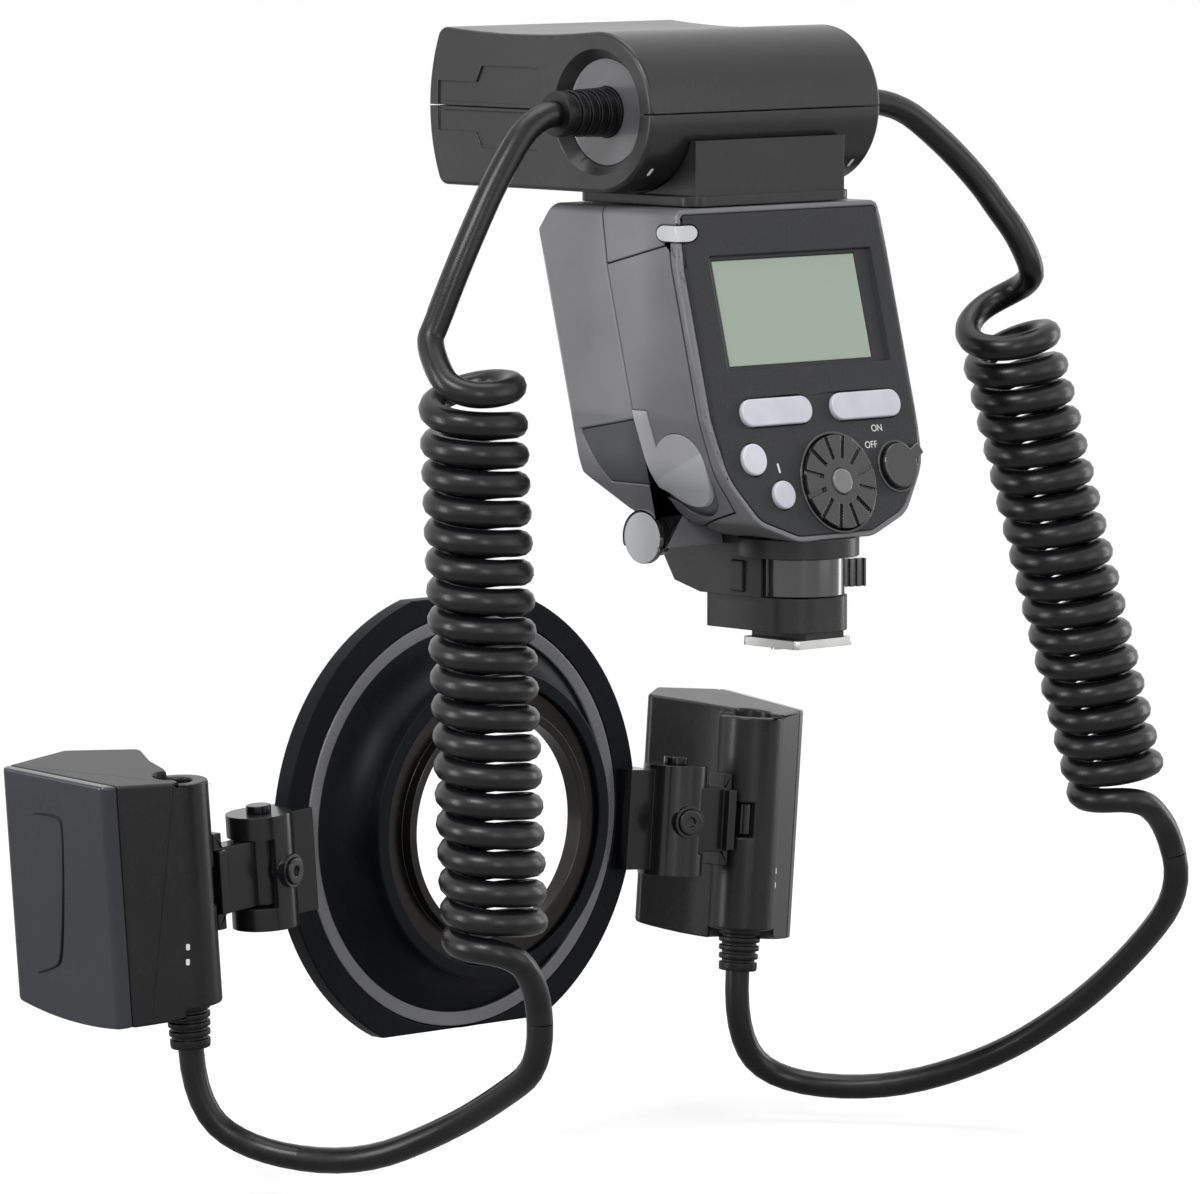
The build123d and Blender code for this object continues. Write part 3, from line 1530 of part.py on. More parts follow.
def make_head_window():
    """The window in front of the lamp, slightly bowed."""
    frame, width, height = window_place()
    plate = frame * Pos(0, 0, -head_wall / 2) * Box(width, height, head_wall)
    half = width / 2
    bow = make_face([ThreePointArc((-half, 0), (0, window_bow), (half, 0)), Line((half, 0), (-half, 0))])
    bulge = extrude(frame * Rotation(90, 0, 0) * Pos(0, 0, -height / 2) * bow, amount=height)
    return seat(plate + bulge)


def make_head_lamp():
    """The reflector box behind the window, with its tube."""
    frame, width, height = window_place()
    align = (Align.CENTER, Align.CENTER, Align.MAX)
    back = frame * Pos(0, 0, -head_wall)
    wide, tall = width - lamp_inset, height - lamp_inset
    tray = back * Box(wide, tall, lamp_depth, align=align)
    tray = tray - back * Pos(0, 0, overrun) * Box(
        wide - 2 * lamp_skin, tall - 2 * lamp_skin, lamp_depth - lamp_skin + overrun, align=align
    )
    tube = back * Pos(0, 0, -lamp_tube_depth) * Rotation(90, 0, 0) * Cylinder(lamp_tube_radius, tall)
    return seat(tray + tube)


def make_barrel_pin():
    """The pin that the head turns on, inside its barrel."""
    high = barrel_high - barrel_hole_depth
    return seat(upright(-barrel_r, barrel_y, -barrel_pin_low, high, barrel_pin_radius))


def make_head_relief():
    """The ribbed strain relief under the barrel."""
    plug = head_relief_root - relief_groove
    shape = relief((-barrel_r, barrel_y, -barrel_low), (0, 0, -1), head_relief_length, head_relief_root,
                   head_relief_tip, head_relief_ribs, plug, relief_plug)
    return seat(shape)


# Nodes
def save_body():
    """The controller and everything in it."""
    front, rear = make_body_shells()
    save("front_shell", front)
    save("rear_shell", rear)
    save("control_panel", make_panel())
    save("lcd_window", make_lcd())
    save("battery_cells", make_cells())
    save("main_board", make_board())
    save("socket_cap", make_side_cap())
    save("af_window", make_aim_window())
    save("terminal_cover", make_cover())
    door, latch = make_door_and_latch()
    save("battery_door", door)
    save("battery_latch", latch)
    save("wide_button_left", make_button(0))
    save("wide_button_right", make_button(1))
    save("mode_button", make_button(2))
    save("lamp_button", make_button(3))
    save("control_dial", make_dial())
    save("set_button", make_set_button())
    save("power_switch", make_switch())
    save("test_button", make_pilot())


def save_foot():
    """The foot, its lock and its contacts."""
    save("foot_plate", make_foot_plate())
    save("foot_housing", make_foot_housing())
    save("lock_lever", make_lock_ring())
    save("lock_release", make_release())
    save("contact_pins", make_contacts())
    save("locking_pin", make_lock_pin())


def save_housing():
    """The neck and the cord housing."""
    upper, lower = make_housing()
    save("head_upper_shell", upper)
    save("head_lower_shell", lower)
    save("end_discs", make_discs())
    save("tilt_shaft", make_shaft())
    save("head_strain_reliefs", make_housing_reliefs())
    save("neck_saddle", make_neck())


def save_ring():
    """The mounting ring and the pieces that come in pairs."""
    save("ring_body", make_ring_body())
    save("adapter_ring", make_adapter())
    save("ring_release", make_ring_button())
    pairs = {
        "clip": make_clip(),
        "clip_button": make_clip_button(),
        "knuckle_pin": make_knuckle_pin(),
        "arm": make_arm(),
        "barrel_pin": make_barrel_pin(),
        "flash_shell": make_head(),
        "flash_cap": make_head_cap(),
        "flash_window": make_head_window(),
        "flash_lamp": make_head_lamp(),
        "flash_strain_relief": make_head_relief(),
    }
    for name, shape in pairs.items():
        save(f"{name}_left", shape)
        save(f"{name}_right", mirror(shape, about=Plane.YZ))


def save_cords():
    """Both cords, each in three stretches."""
    left, right = left_coil(), right_coil()
    save("cord_upper_left", make_cord("upper left", upper_route(-1, left, upper_left_bends, left_exit_run)))
    save("cord_upper_right", make_cord("upper right", upper_route(1, right, upper_right_bends,
                                                                  right_exit_run)))
    save("cord_lower_left", make_cord("lower left", lower_route(-1, left, lower_left_bends)))
    save("cord_lower_right", make_cord("lower right", lower_route(1, right, lower_right_bends)))
    save("coil_left", make_coil("left coil", *left))
    save("coil_right", make_coil("right coil", *right))


save_foot()
save_body()
save_housing()
save_ring()
save_cords()
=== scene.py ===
import json
from math import cos, pi, radians, sin

import bmesh
import bpy
from mathutils import Matrix, Vector

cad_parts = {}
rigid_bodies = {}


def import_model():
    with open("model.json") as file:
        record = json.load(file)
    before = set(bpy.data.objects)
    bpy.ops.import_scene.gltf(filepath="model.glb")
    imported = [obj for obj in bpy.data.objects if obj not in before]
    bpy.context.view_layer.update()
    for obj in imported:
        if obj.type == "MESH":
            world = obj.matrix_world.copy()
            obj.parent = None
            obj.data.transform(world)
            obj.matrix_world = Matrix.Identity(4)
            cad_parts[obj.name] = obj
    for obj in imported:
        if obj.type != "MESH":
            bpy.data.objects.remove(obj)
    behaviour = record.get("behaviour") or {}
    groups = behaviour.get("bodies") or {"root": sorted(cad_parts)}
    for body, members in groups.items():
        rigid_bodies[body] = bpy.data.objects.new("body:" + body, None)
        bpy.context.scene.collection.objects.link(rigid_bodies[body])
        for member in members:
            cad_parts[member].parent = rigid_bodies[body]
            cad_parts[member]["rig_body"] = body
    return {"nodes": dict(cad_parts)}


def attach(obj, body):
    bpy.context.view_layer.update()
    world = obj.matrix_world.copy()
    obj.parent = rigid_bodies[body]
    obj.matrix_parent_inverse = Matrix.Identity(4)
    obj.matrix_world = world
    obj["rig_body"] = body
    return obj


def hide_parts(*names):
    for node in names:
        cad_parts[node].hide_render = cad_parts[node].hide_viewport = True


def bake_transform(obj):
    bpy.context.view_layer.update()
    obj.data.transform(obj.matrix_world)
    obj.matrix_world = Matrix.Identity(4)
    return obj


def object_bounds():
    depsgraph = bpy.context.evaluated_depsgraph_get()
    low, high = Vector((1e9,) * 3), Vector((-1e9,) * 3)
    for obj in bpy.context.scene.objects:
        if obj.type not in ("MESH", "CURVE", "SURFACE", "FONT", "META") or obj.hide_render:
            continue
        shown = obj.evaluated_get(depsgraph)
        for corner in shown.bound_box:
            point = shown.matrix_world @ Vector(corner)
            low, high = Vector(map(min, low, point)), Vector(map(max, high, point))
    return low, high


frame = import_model()
cad_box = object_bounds()
mm = 0.001

# View. A long lens a little above the foot, behind the left shoulder of the controller, as in the
# photograph, so that the rear panel, the left side and the ring are all seen.
photo_width = 1200
focal_pixels = 8200
sensor_width = 36.0
view_place = Vector((-1326, -1355, 207)) * mm
view_aim = Vector((-33, 32, 11)) * mm
lens = bpy.data.cameras.new("view")
lens.sensor_width = sensor_width
lens.lens = focal_pixels / photo_width * sensor_width
camera = bpy.data.objects.new("view", lens)
camera.location = view_place
camera.rotation_euler = (view_aim - view_place).to_track_quat("-Z", "Y").to_euler()
bpy.context.collection.objects.link(camera)
bpy.context.scene.camera = camera
bpy.context.scene.view_settings.view_transform = "Standard"


# Studio. A pale floor well under the hanging cords, a large soft box to the upper left, a low broad
# fill and a strip beside the view, one box overhead and a strip at each side, in a grey dome.
floor_drop = 0.004
floor_reach = 0.8
floor_white = (0.93, 0.93, 0.93, 1.0)
floor_grey = (0.42, 0.42, 0.42, 1.0)
floor_rough = 0.9
floor_sheen = 0.1
floor_glow = 0.7
dome_grey = 0.42
# Each soft box has a name, a place, a point that it faces, a width, a height and a power in watts.
soft_boxes = (
    ("key", (-1.7, -0.5, 1.5), (0, 0, 0.02), 0.8, 0.8, 27),
    ("fill", (0.9, -1.9, 0.5), (0, 0, 0.0), 1.2, 1.4, 7),
    ("view_strip", (-1.0, -1.8, 0.5), (0, 0, 0.0), 0.2, 1.0, 6),
    ("overhead", (0.1, 0.2, 1.9), (0, 0, 0.0), 1.6, 1.2, 16),
    ("side_strip", (-1.7, 0.9, 0.1), (-0.05, 0.05, -0.04), 0.35, 1.3, 16),
    ("right_strip", (1.8, -0.3, 0.3), (0.05, 0, 0.02), 0.4, 1.3, 7),
)


def camera_white(tree, surface, output):
    """Shows plain white to the view, to reflections and through glass, and the surface to all else."""
    rays = tree.nodes.new("ShaderNodeLightPath")
    mirrored = tree.nodes.new("ShaderNodeMath")
    mirrored.operation = "MAXIMUM"
    seen = tree.nodes.new("ShaderNodeMath")
    seen.operation = "MAXIMUM"
    white = tree.nodes.new("ShaderNodeBackground")
    white.inputs["Color"].default_value = (1, 1, 1, 1)
    mix = tree.nodes.new("ShaderNodeMixShader")
    tree.links.new(rays.outputs["Is Glossy Ray"], mirrored.inputs[0])
    tree.links.new(rays.outputs["Is Transmission Ray"], mirrored.inputs[1])
    tree.links.new(rays.outputs["Is Camera Ray"], seen.inputs[0])
    tree.links.new(mirrored.outputs[0], seen.inputs[1])
    tree.links.new(seen.outputs[0], mix.inputs["Fac"])
    tree.links.new(surface, mix.inputs[1])
    tree.links.new(white.outputs[0], mix.inputs[2])
    tree.links.new(mix.outputs[0], output)


world = bpy.data.worlds.new("studio")
bpy.context.scene.world = world
world.use_nodes = True
world.node_tree.nodes.clear()
dome = world.node_tree.nodes.new("ShaderNodeBackground")
dome.inputs["Color"].default_value = (dome_grey, dome_grey, dome_grey, 1)
world_output = world.node_tree.nodes.new("ShaderNodeOutputWorld")
camera_white(world.node_tree, dome.outputs[0], world_output.inputs["Surface"])

floor_mesh = bpy.data.meshes.new("studio_floor")
floor_shape = bmesh.new()
bmesh.ops.create_grid(floor_shape, x_segments=1, y_segments=1, size=floor_reach)
bmesh.ops.translate(floor_shape, verts=floor_shape.verts, vec=(0, 0, cad_box[0][2] - floor_drop))
floor_shape.to_mesh(floor_mesh)
floor_shape.free()
studio_floor = bpy.data.objects.new("studio_floor", floor_mesh)
bpy.context.collection.objects.link(studio_floor)
floor_paint = bpy.data.materials.new("studio_floor")
floor_paint.use_nodes = True
floor_shader = floor_paint.node_tree.nodes["Principled BSDF"]
floor_shader.inputs["Base Color"].default_value = floor_grey
floor_shader.inputs["Roughness"].default_value = floor_rough
floor_shader.inputs["Specular IOR Level"].default_value = floor_sheen
floor_shader.inputs["Emission Color"].default_value = floor_white
floor_rays = floor_paint.node_tree.nodes.new("ShaderNodeLightPath")
floor_shine = floor_paint.node_tree.nodes.new("ShaderNodeMath")
floor_shine.operation = "MULTIPLY"
floor_shine.inputs[1].default_value = floor_glow
floor_paint.node_tree.links.new(floor_rays.outputs["Is Camera Ray"], floor_shine.inputs[0])
floor_paint.node_tree.links.new(floor_shine.outputs[0], floor_shader.inputs["Emission Strength"])
floor_mesh.materials.append(floor_paint)


def soft_box(name, place, aim, width, height, power):
    """A rectangular area lamp that faces a point."""
    light = bpy.data.lights.new(name, "AREA")
    light.shape = "RECTANGLE"
    light.size, light.size_y = width, height
    light.energy = power
    lamp = bpy.data.objects.new(name, light)
    lamp.location = place
    lamp.rotation_euler = (Vector(aim) - Vector(place)).to_track_quat("-Z", "Y").to_euler()
    bpy.context.collection.objects.link(lamp)


for row in soft_boxes:
    soft_box(*row)


# Cords. Two black rubber cords with a satin skin, each plain near its ends and tightly coiled in
# between. The plain stretches hang limp; every stretch meets a strain relief or the coil end on.
cord_diameter = 6.2 * mm
tube_sides = 10
tube_sharp = radians(40)
route_steps = 5
weld = 0.001 * mm
coil_steps = 4
coil_radius = 9.4 * mm
coil_pitch = 6.76 * mm
coil_points = 16
coil_tip = 6.5 * mm
tipped_turns = 1.6
coil_climb = 6.5 * mm
coil_drop = 11.0 * mm
climb_angle = 1.7
view_turn = radians(-43)
view_right = Vector((cos(view_turn), sin(view_turn), 0))
# Each coil has the top and the end of its axis in millimetres, its turns, and the angle it starts at.
coil_starts = {
    "left": ((-76.6, 28.0, 63.4), (-69.8, 28.0, -65.4), 19.5, -pi / 2),
    "right": ((89.1, 20.0, 70.3), (119.2, 10.0, -45.4), 18, pi / 2),
}
upper_routes = {
    "left": [
        (-50, 28.9, 123.8),
        (-57, 28.9, 123.8),
        (-67.4, 30, 109.3),
        (-74, 31, 96.9),
        (-78.9, 32.2, 86.3),
        (-81.5, 33.5, 78.9),
    ],
    "right": [
        (50, 28.9, 123.8),
        (60, 28.9, 123.8),
        (74, 26, 113.5),
        (82.2, 21.5, 103.5),
        (85.2, 18.9, 97.7),
        (87.6, 17, 93.6),
    ],
}
lower_routes = {
    "left": [
        (-61.75, 21.46, -85.04),
        (-61.2, 21.5, -95),
        (-60.3, 37, -104.5),
        (-60, 55, -114),
        (-66, 80, -125),
        (-78, 104, -123.5),
        (-88.53, 113, -112.9),
        (-89.73, 113, -97.94),
    ],
    "right": [
        (130.57, 1.89, -61.35),
        (132.9, 1.1, -70.4),
        (135.2, 19, -88),
        (136.1, 42, -105.5),
        (132, 66, -120),
        (118, 90, -129),
        (100, 112, -127),
        (88.53, 113, -112.9),
        (89.73, 113, -97.94),
    ],
}
sag_starts_share = 1 / 3
rise_starts_share = 2 / 3

fine_pits = 2.4
fine_detail = 3.0
cloud_scale = 34.0
cloud_detail = 4.0
cloud_rough = 0.6
cloud_middle = 0.5
cloud_low = 0.3
cloud_high = 0.7
cloud_gain = 2.0
dust_colour = (0.33, 0.32, 0.3, 1)
dust_low = 0.26
dust_high = 0.42
# The bevel radius and samples round edges to the eye; the gain, lift and share set how strong and how light
# the painted edge highlight is.
edge_round_width = 0.35 * mm
edge_round_samples = 4
edge_highlight_gain = 1.2
edge_highlight_lift = 0.12
edge_highlight_share = 0.8
coat_rough = 0.08


def effect_group(name, takes, gives):
    """A node group with its sockets, and the nodes for what it takes, what it gives and the place."""
    group = bpy.data.node_groups.new(name, "ShaderNodeTree")
    for way, sockets in (("INPUT", takes), ("OUTPUT", gives)):
        for label, kind in sockets.items():
            group.interface.new_socket(name=label, in_out=way, socket_type=f"NodeSocket{kind}")
    given = group.nodes.new("NodeGroupInput")
    result = group.nodes.new("NodeGroupOutput")
    place = group.nodes.new("ShaderNodeTexCoord").outputs["Object"]
    return group, given, result, place


def noise(tree, place, scale, detail, rough=0.5):
    """A noise texture on a place."""
    made = tree.nodes.new("ShaderNodeTexNoise")
    made.inputs["Scale"].default_value = scale
    made.inputs["Detail"].default_value = detail
    made.inputs["Roughness"].default_value = rough
    tree.links.new(place, made.inputs["Vector"])
    return made.outputs["Fac"]


def arithmetic(tree, operation, a, b):
    """One step of arithmetic on two sockets or numbers."""
    made = tree.nodes.new("ShaderNodeMath")
    made.operation = operation
    for value, target in ((a, made.inputs[0]), (b, made.inputs[1])):
        if isinstance(value, (int, float)):
            target.default_value = value
        else:
            tree.links.new(value, target)
    return made.outputs[0]


def moulded_skin():
    """The group that gives grain height, cloudy roughness and faintly uneven colour."""
    takes = {"Colour": "Color", "Gloss": "Float", "Grain": "Float", "Cloud": "Float"}
    gives = {"Colour": "Color", "Roughness": "Float", "Height": "Float"}
    group, given, result, place = effect_group("moulded_skin", takes, gives)
    nodes, links = group.nodes, group.links
    pebbles = nodes.new("ShaderNodeTexVoronoi")
    links.new(place, pebbles.inputs["Vector"])
    links.new(given.outputs["Grain"], pebbles.inputs["Scale"])
    fine = nodes.new("ShaderNodeTexNoise")
    fine.inputs["Detail"].default_value = fine_detail
    links.new(place, fine.inputs["Vector"])
    links.new(arithmetic(group, "MULTIPLY", given.outputs["Grain"], fine_pits), fine.inputs["Scale"])
    height = arithmetic(group, "ADD", pebbles.outputs["Distance"], fine.outputs["Fac"])
    links.new(height, result.inputs["Height"])

    cloud = noise(group, place, cloud_scale, cloud_detail, cloud_rough)
    swing = arithmetic(group, "SUBTRACT", cloud, cloud_middle)
    spread = arithmetic(group, "MULTIPLY", swing, given.outputs["Cloud"])
    wider = arithmetic(group, "MULTIPLY", spread, cloud_gain)
    links.new(arithmetic(group, "ADD", given.outputs["Gloss"], wider), result.inputs["Roughness"])

    shade = nodes.new("ShaderNodeMapRange")
    shade.inputs["From Min"].default_value = cloud_low
    shade.inputs["From Max"].default_value = cloud_high
    uneven = arithmetic(group, "MULTIPLY", given.outputs["Cloud"], cloud_gain)
    links.new(arithmetic(group, "SUBTRACT", 1.0, uneven), shade.inputs["To Min"])
    links.new(arithmetic(group, "ADD", 1.0, uneven), shade.inputs["To Max"])
    links.new(cloud, shade.inputs["Value"])
    tint = nodes.new("ShaderNodeMix")
    tint.data_type = "RGBA"
    tint.blend_type = "MULTIPLY"
    tint.inputs["Factor"].default_value = 1.0
    links.new(given.outputs["Colour"], tint.inputs["A"])
    links.new(shade.outputs["Result"], tint.inputs["B"])
    links.new(tint.outputs["Result"], result.inputs["Colour"])
    return group


def handled_dust():
    """The group that lays sparse pale dust in patches over a colour and roughens it there."""
    takes = {"Colour": "Color", "Roughness": "Float", "Amount": "Float"}
    gives = {"Colour": "Color", "Roughness": "Float"}
    group, given, result, place = effect_group("handled_dust", takes, gives)
    nodes, links = group.nodes, group.links
    patches = noise(group, place, scale=55.0, detail=5.0, rough=0.65)
    specks = noise(group, place, scale=900.0, detail=2.0)
    mask = nodes.new("ShaderNodeMapRange")
    mask.inputs["From Min"].default_value = dust_low
    mask.inputs["From Max"].default_value = dust_high
    links.new(arithmetic(group, "MULTIPLY", patches, specks), mask.inputs["Value"])
    amount = arithmetic(group, "MULTIPLY", mask.outputs["Result"], given.outputs["Amount"])
    tint = nodes.new("ShaderNodeMix")
    tint.data_type = "RGBA"
    links.new(amount, tint.inputs["Factor"])
    links.new(given.outputs["Colour"], tint.inputs["A"])
    tint.inputs["B"].default_value = dust_colour
    links.new(tint.outputs["Result"], result.inputs["Colour"])
    links.new(arithmetic(group, "ADD", given.outputs["Roughness"], amount), result.inputs["Roughness"])
    return group


def painted_edge_highlights():
    """The group that rounds edges to the eye with a bevel normal and gives a patchy mask along them, where a
    painted highlight lightens the colour.
    """
    group, given, result, place = effect_group(
        "painted_edge_highlights", {"Wear": "Float"}, {"Highlit": "Float", "Normal": "Vector"}
    )
    nodes, links = group.nodes, group.links
    soft = nodes.new("ShaderNodeBevel")
    soft.samples = edge_round_samples
    soft.inputs["Radius"].default_value = edge_round_width
    links.new(soft.outputs["Normal"], result.inputs["Normal"])
    along = nodes.new("ShaderNodeVectorMath")
    along.operation = "DOT_PRODUCT"
    links.new(soft.outputs["Normal"], along.inputs[0])
    links.new(nodes.new("ShaderNodeNewGeometry").outputs["Normal"], along.inputs[1])
    away = arithmetic(group, "SUBTRACT", 1.0, along.outputs["Value"])
    patchy = arithmetic(group, "MULTIPLY", away, noise(group, place, scale=260.0, detail=4.0, rough=0.6))
    highlit = arithmetic(group, "MULTIPLY", patchy, given.outputs["Wear"])
    limit = nodes.new("ShaderNodeClamp")
    links.new(arithmetic(group, "MULTIPLY", highlit, edge_highlight_gain), limit.inputs["Value"])
    links.new(limit.outputs["Result"], result.inputs["Highlit"])
    return group


skin_group = moulded_skin()
dust_group = handled_dust()
edge_highlight_group = painted_edge_highlights()


def placed(tree, group, **values):
    """One node that uses a group, with its own values."""
    made = tree.nodes.new("ShaderNodeGroup")
    made.node_tree = group
    for label, value in values.items():
        made.inputs[label].default_value = value
    return made


def plastic(name, colour, gloss, grain, relief, cloud, dust, coat=0.0, metal=0.0, edge=0.0, shine=0.5):
    """A moulded, painted or plated finish: skin, then dust, then a painted highlight along the edges and a
    fine bump.
    """
    made = bpy.data.materials.new(name)
    made.use_nodes = True
    tree = made.node_tree
    shader = tree.nodes["Principled BSDF"]
    skin = placed(tree, skin_group, Colour=(*colour, 1), Gloss=gloss, Grain=grain, Cloud=cloud)
    dusty = placed(tree, dust_group, Amount=dust)
    tree.links.new(skin.outputs["Colour"], dusty.inputs["Colour"])
    tree.links.new(skin.outputs["Roughness"], dusty.inputs["Roughness"])
    bump = tree.nodes.new("ShaderNodeBump")
    bump.inputs["Strength"].default_value = 1.0
    bump.inputs["Distance"].default_value = relief * mm
    finished = dusty.outputs["Colour"]
    # Where edge is set, the edges are painted lighter as a highlight, and the bevel normal rounds them to the
    # eye.
    if edge:
        edge_light = placed(tree, edge_highlight_group, Wear=edge)
        highlit = tree.nodes.new("ShaderNodeMix")
        highlit.data_type = "RGBA"
        highlit.inputs["B"].default_value = (*(edge_highlight_lift + edge_highlight_share * part for part in colour), 1)
        tree.links.new(edge_light.outputs["Highlit"], highlit.inputs["Factor"])
        tree.links.new(finished, highlit.inputs["A"])
        tree.links.new(edge_light.outputs["Normal"], bump.inputs["Normal"])
        finished = highlit.outputs["Result"]
    tree.links.new(finished, shader.inputs["Base Color"])
    tree.links.new(dusty.outputs["Roughness"], shader.inputs["Roughness"])
    tree.links.new(skin.outputs["Height"], bump.inputs["Height"])
    tree.links.new(bump.outputs["Normal"], shader.inputs["Normal"])
    shader.inputs["Coat Weight"].default_value = coat
    shader.inputs["Coat Roughness"].default_value = coat_rough
    shader.inputs["Specular IOR Level"].default_value = shine
    shader.inputs["Metallic"].default_value = metal
    return made


cord_rubber = plastic(
    "cord_rubber", (0.005, 0.005, 0.006), gloss=0.3, grain=2600, relief=0.01, cloud=0.1, dust=0.012,
    shine=0.35,
)


def drawn_curve(name, kind, points, thick):
    """A curve of one spline through points in metres, with a round section if it has a thickness."""
    curve = bpy.data.curves.new(name, "CURVE")
    curve.dimensions = "3D"
    spline = curve.splines.new(kind)
    spline.points.add(len(points) - 1)
    for target, place in zip(spline.points, points):
        target.co = (*place, 1)
    curve.bevel_depth = thick / 2
    curve.bevel_resolution = tube_sides // 2 - 1
    curve.use_fill_caps = True
    made = bpy.data.objects.new(name, curve)
    bpy.context.collection.objects.link(made)
    return made


def smooth_curve(name, points, thick, steps=route_steps):
    """A smooth curve that is drawn along by its control points."""
    made = drawn_curve(name, "NURBS", points, thick)
    made.data.resolution_u = steps
    made.data.splines[0].order_u = 3
    made.data.splines[0].use_endpoint_u = True
    return made


def taken_mesh(drawn):
    """The mesh of a drawn curve or word, which is then taken away."""
    bpy.context.view_layer.update()
    mesh = bpy.data.meshes.new_from_object(drawn.evaluated_get(bpy.context.evaluated_depsgraph_get()))
    bpy.data.objects.remove(drawn)
    return mesh


def centreline(points):
    """The points of a route's smooth line."""
    mesh = taken_mesh(smooth_curve("route", points, 0))
    places = [v.co.copy() for v in mesh.vertices]
    bpy.data.meshes.remove(mesh)
    return places


def tube(name, places, thick, material):
    """A mesh tube along close points."""
    mesh = taken_mesh(drawn_curve(name, "POLY", places, thick))
    mesh.name = name
    skin = bmesh.new()
    skin.from_mesh(mesh)
    bmesh.ops.remove_doubles(skin, verts=skin.verts, dist=weld)
    bmesh.ops.recalc_face_normals(skin, faces=skin.faces)
    skin.to_mesh(mesh)
    skin.free()
    mesh.materials.clear()
    mesh.materials.append(material)
    made = bpy.data.objects.new(name, mesh)
    bpy.context.collection.objects.link(made)
    mesh.shade_smooth()
    mesh.set_sharp_from_angle(angle=tube_sharp)
    return made


def run_length(places):
    """The length of a line of points."""
    return sum((b - a).length for a, b in zip(places, places[1:]))


def cut_at(line, share):
    """The number of the point where a share of a line's length has gone by."""
    whole = run_length(line)
    return next(count for count in range(1, len(line)) if run_length(line[: count + 1]) >= whole * share)


def coil_line(top, end, turns, start, run_in):
    """Control points of a coil, whose cord runs into its first turn and out of its last one."""
    down = (Vector(end) - Vector(top)).normalized()
    right = (view_right - down * view_right.dot(down)).normalized()
    near = down.cross(right)
    slope = coil_pitch / (2 * pi)
    # A smooth curve passes inside its control points by this share, so they stand wider.
    reached_share = (3 + cos(2 * pi / coil_points)) / 4
    wide = coil_radius / reached_share
    last = 2 * pi * turns
    count = int(turns * coil_points)
    before, entry = (Vector(place) * mm for place in run_in)
    points = [entry, entry + (entry - before).normalized() * cord_diameter / 2]
    for number in (0, *range(2, count - 1), count):
        angle = last * number / count
        turned = start + angle
        tip = coil_tip * max(0.0, 1 - angle / (2 * pi * tipped_turns)) * (1 - cos(turned)) / 2
        climb = coil_climb * max(0.0, 1 - angle / climb_angle) ** 2
        drop = coil_drop * max(0.0, 1 - (last - angle) / climb_angle) ** 2
        across = near * (wide * cos(turned)) + right * (wide * sin(turned))
        points.append(Vector(top) * mm + across + down * (slope * angle - tip - climb + drop))
    return points + [points[-1] + down * cord_diameter]


def hanging_stretch(name, line, node=None):
    """A plain limp stretch of cord along a line."""
    stretch = tube(name, line, cord_diameter, cord_rubber)
    if node:
        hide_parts(node)
    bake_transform(stretch)


for side in ("left", "right"):
    turns_along = coil_line(*coil_starts[side], upper_routes[side][-2:])
    coil = smooth_curve(f"cord_coil_{side}", turns_along, cord_diameter, coil_steps)
    coil.data.materials.append(cord_rubber)
    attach(coil, "controller")
    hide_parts(f"coil_{side}")
    run_length(centreline(turns_along))

    line = centreline([Vector(p) * mm for p in upper_routes[side]])
    hanging_stretch(
        f"cord_upper_stretch_{side}", line, f"cord_upper_{side}"
    )

    line = centreline([Vector(p) * mm for p in lower_routes[side]])
    near_cut = cut_at(line, sag_starts_share)
    far_cut = cut_at(line, rise_starts_share)
    bends = (
        ("coil_end", line[: near_cut + 1], "controller", f"clip_{side}", f"cord_lower_{side}"),
        ("sag", line[near_cut : far_cut + 1], f"clip_{side}", f"arm_{side}", None),
        ("rise", line[far_cut:], f"arm_{side}", f"flash_{side}", None),
    )
    for label, part, body, next_body, node in bends:
        hanging_stretch(f"cord_{label}_{side}", part, node)


# Foot. A flat nickel-plated steel plate, stamped and polished on its sliding faces, with five gilt
# spring pins in its sole and a hardened pin that drops to lock it.
cad_weld = 0.02 * mm
flat_angle = radians(1)
keen_angle = radians(35)
sharp_angle = radians(50)
foot_plate_edge = 0.25 * mm


def finish(node, material):
    """Gives a CAD piece whose shape stays its material."""
    for place in frame["nodes"][node].material_slots:
        place.material = material


def bevelled(shape, parts, width, affect="EDGES", steps=2, **more):
    """Rounds edges or corners of a shape."""
    bmesh.ops.bevel(
        shape,
        geom=parts,
        offset=width,
        offset_type="OFFSET",
        affect=affect,
        segments=steps,
        profile=0.5,
        material=-1,
        **more,
    )


def piece(name, shape, material, body, nodes=()):
    """Makes an object of a finished bmesh, on a body, with clean shading on its flats and bends."""
    mesh = bpy.data.meshes.new(name)
    shape.to_mesh(mesh)
    shape.free()
    mesh.materials.append(material)
    made = bpy.data.objects.new(name, mesh)
    bpy.context.collection.objects.link(made)
    mesh.shade_smooth()
    mesh.set_sharp_from_angle(angle=sharp_angle)
    shading = made.modifiers.new("flats", "WEIGHTED_NORMAL")
    shading.keep_sharp = True
    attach(made, body)
    for node in nodes:
        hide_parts(node)
    return made


def rounded(node, material, width, clamp=True):
    """A copy of a CAD piece with its moulded edges rounded, which stands for it."""
    source = frame["nodes"][node]
    shape = bmesh.new()
    shape.from_mesh(source.data)
    bmesh.ops.remove_doubles(shape, verts=shape.verts, dist=cad_weld)
    bmesh.ops.dissolve_limit(shape, angle_limit=flat_angle, verts=shape.verts, edges=shape.edges)
    edges = [edge for edge in shape.edges if edge.is_manifold and edge.calc_face_angle() > keen_angle]
    bevelled(shape, edges, width, clamp_overlap=clamp, loop_slide=True)
    return piece(node + "_moulded", shape, material, source["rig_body"], [node])


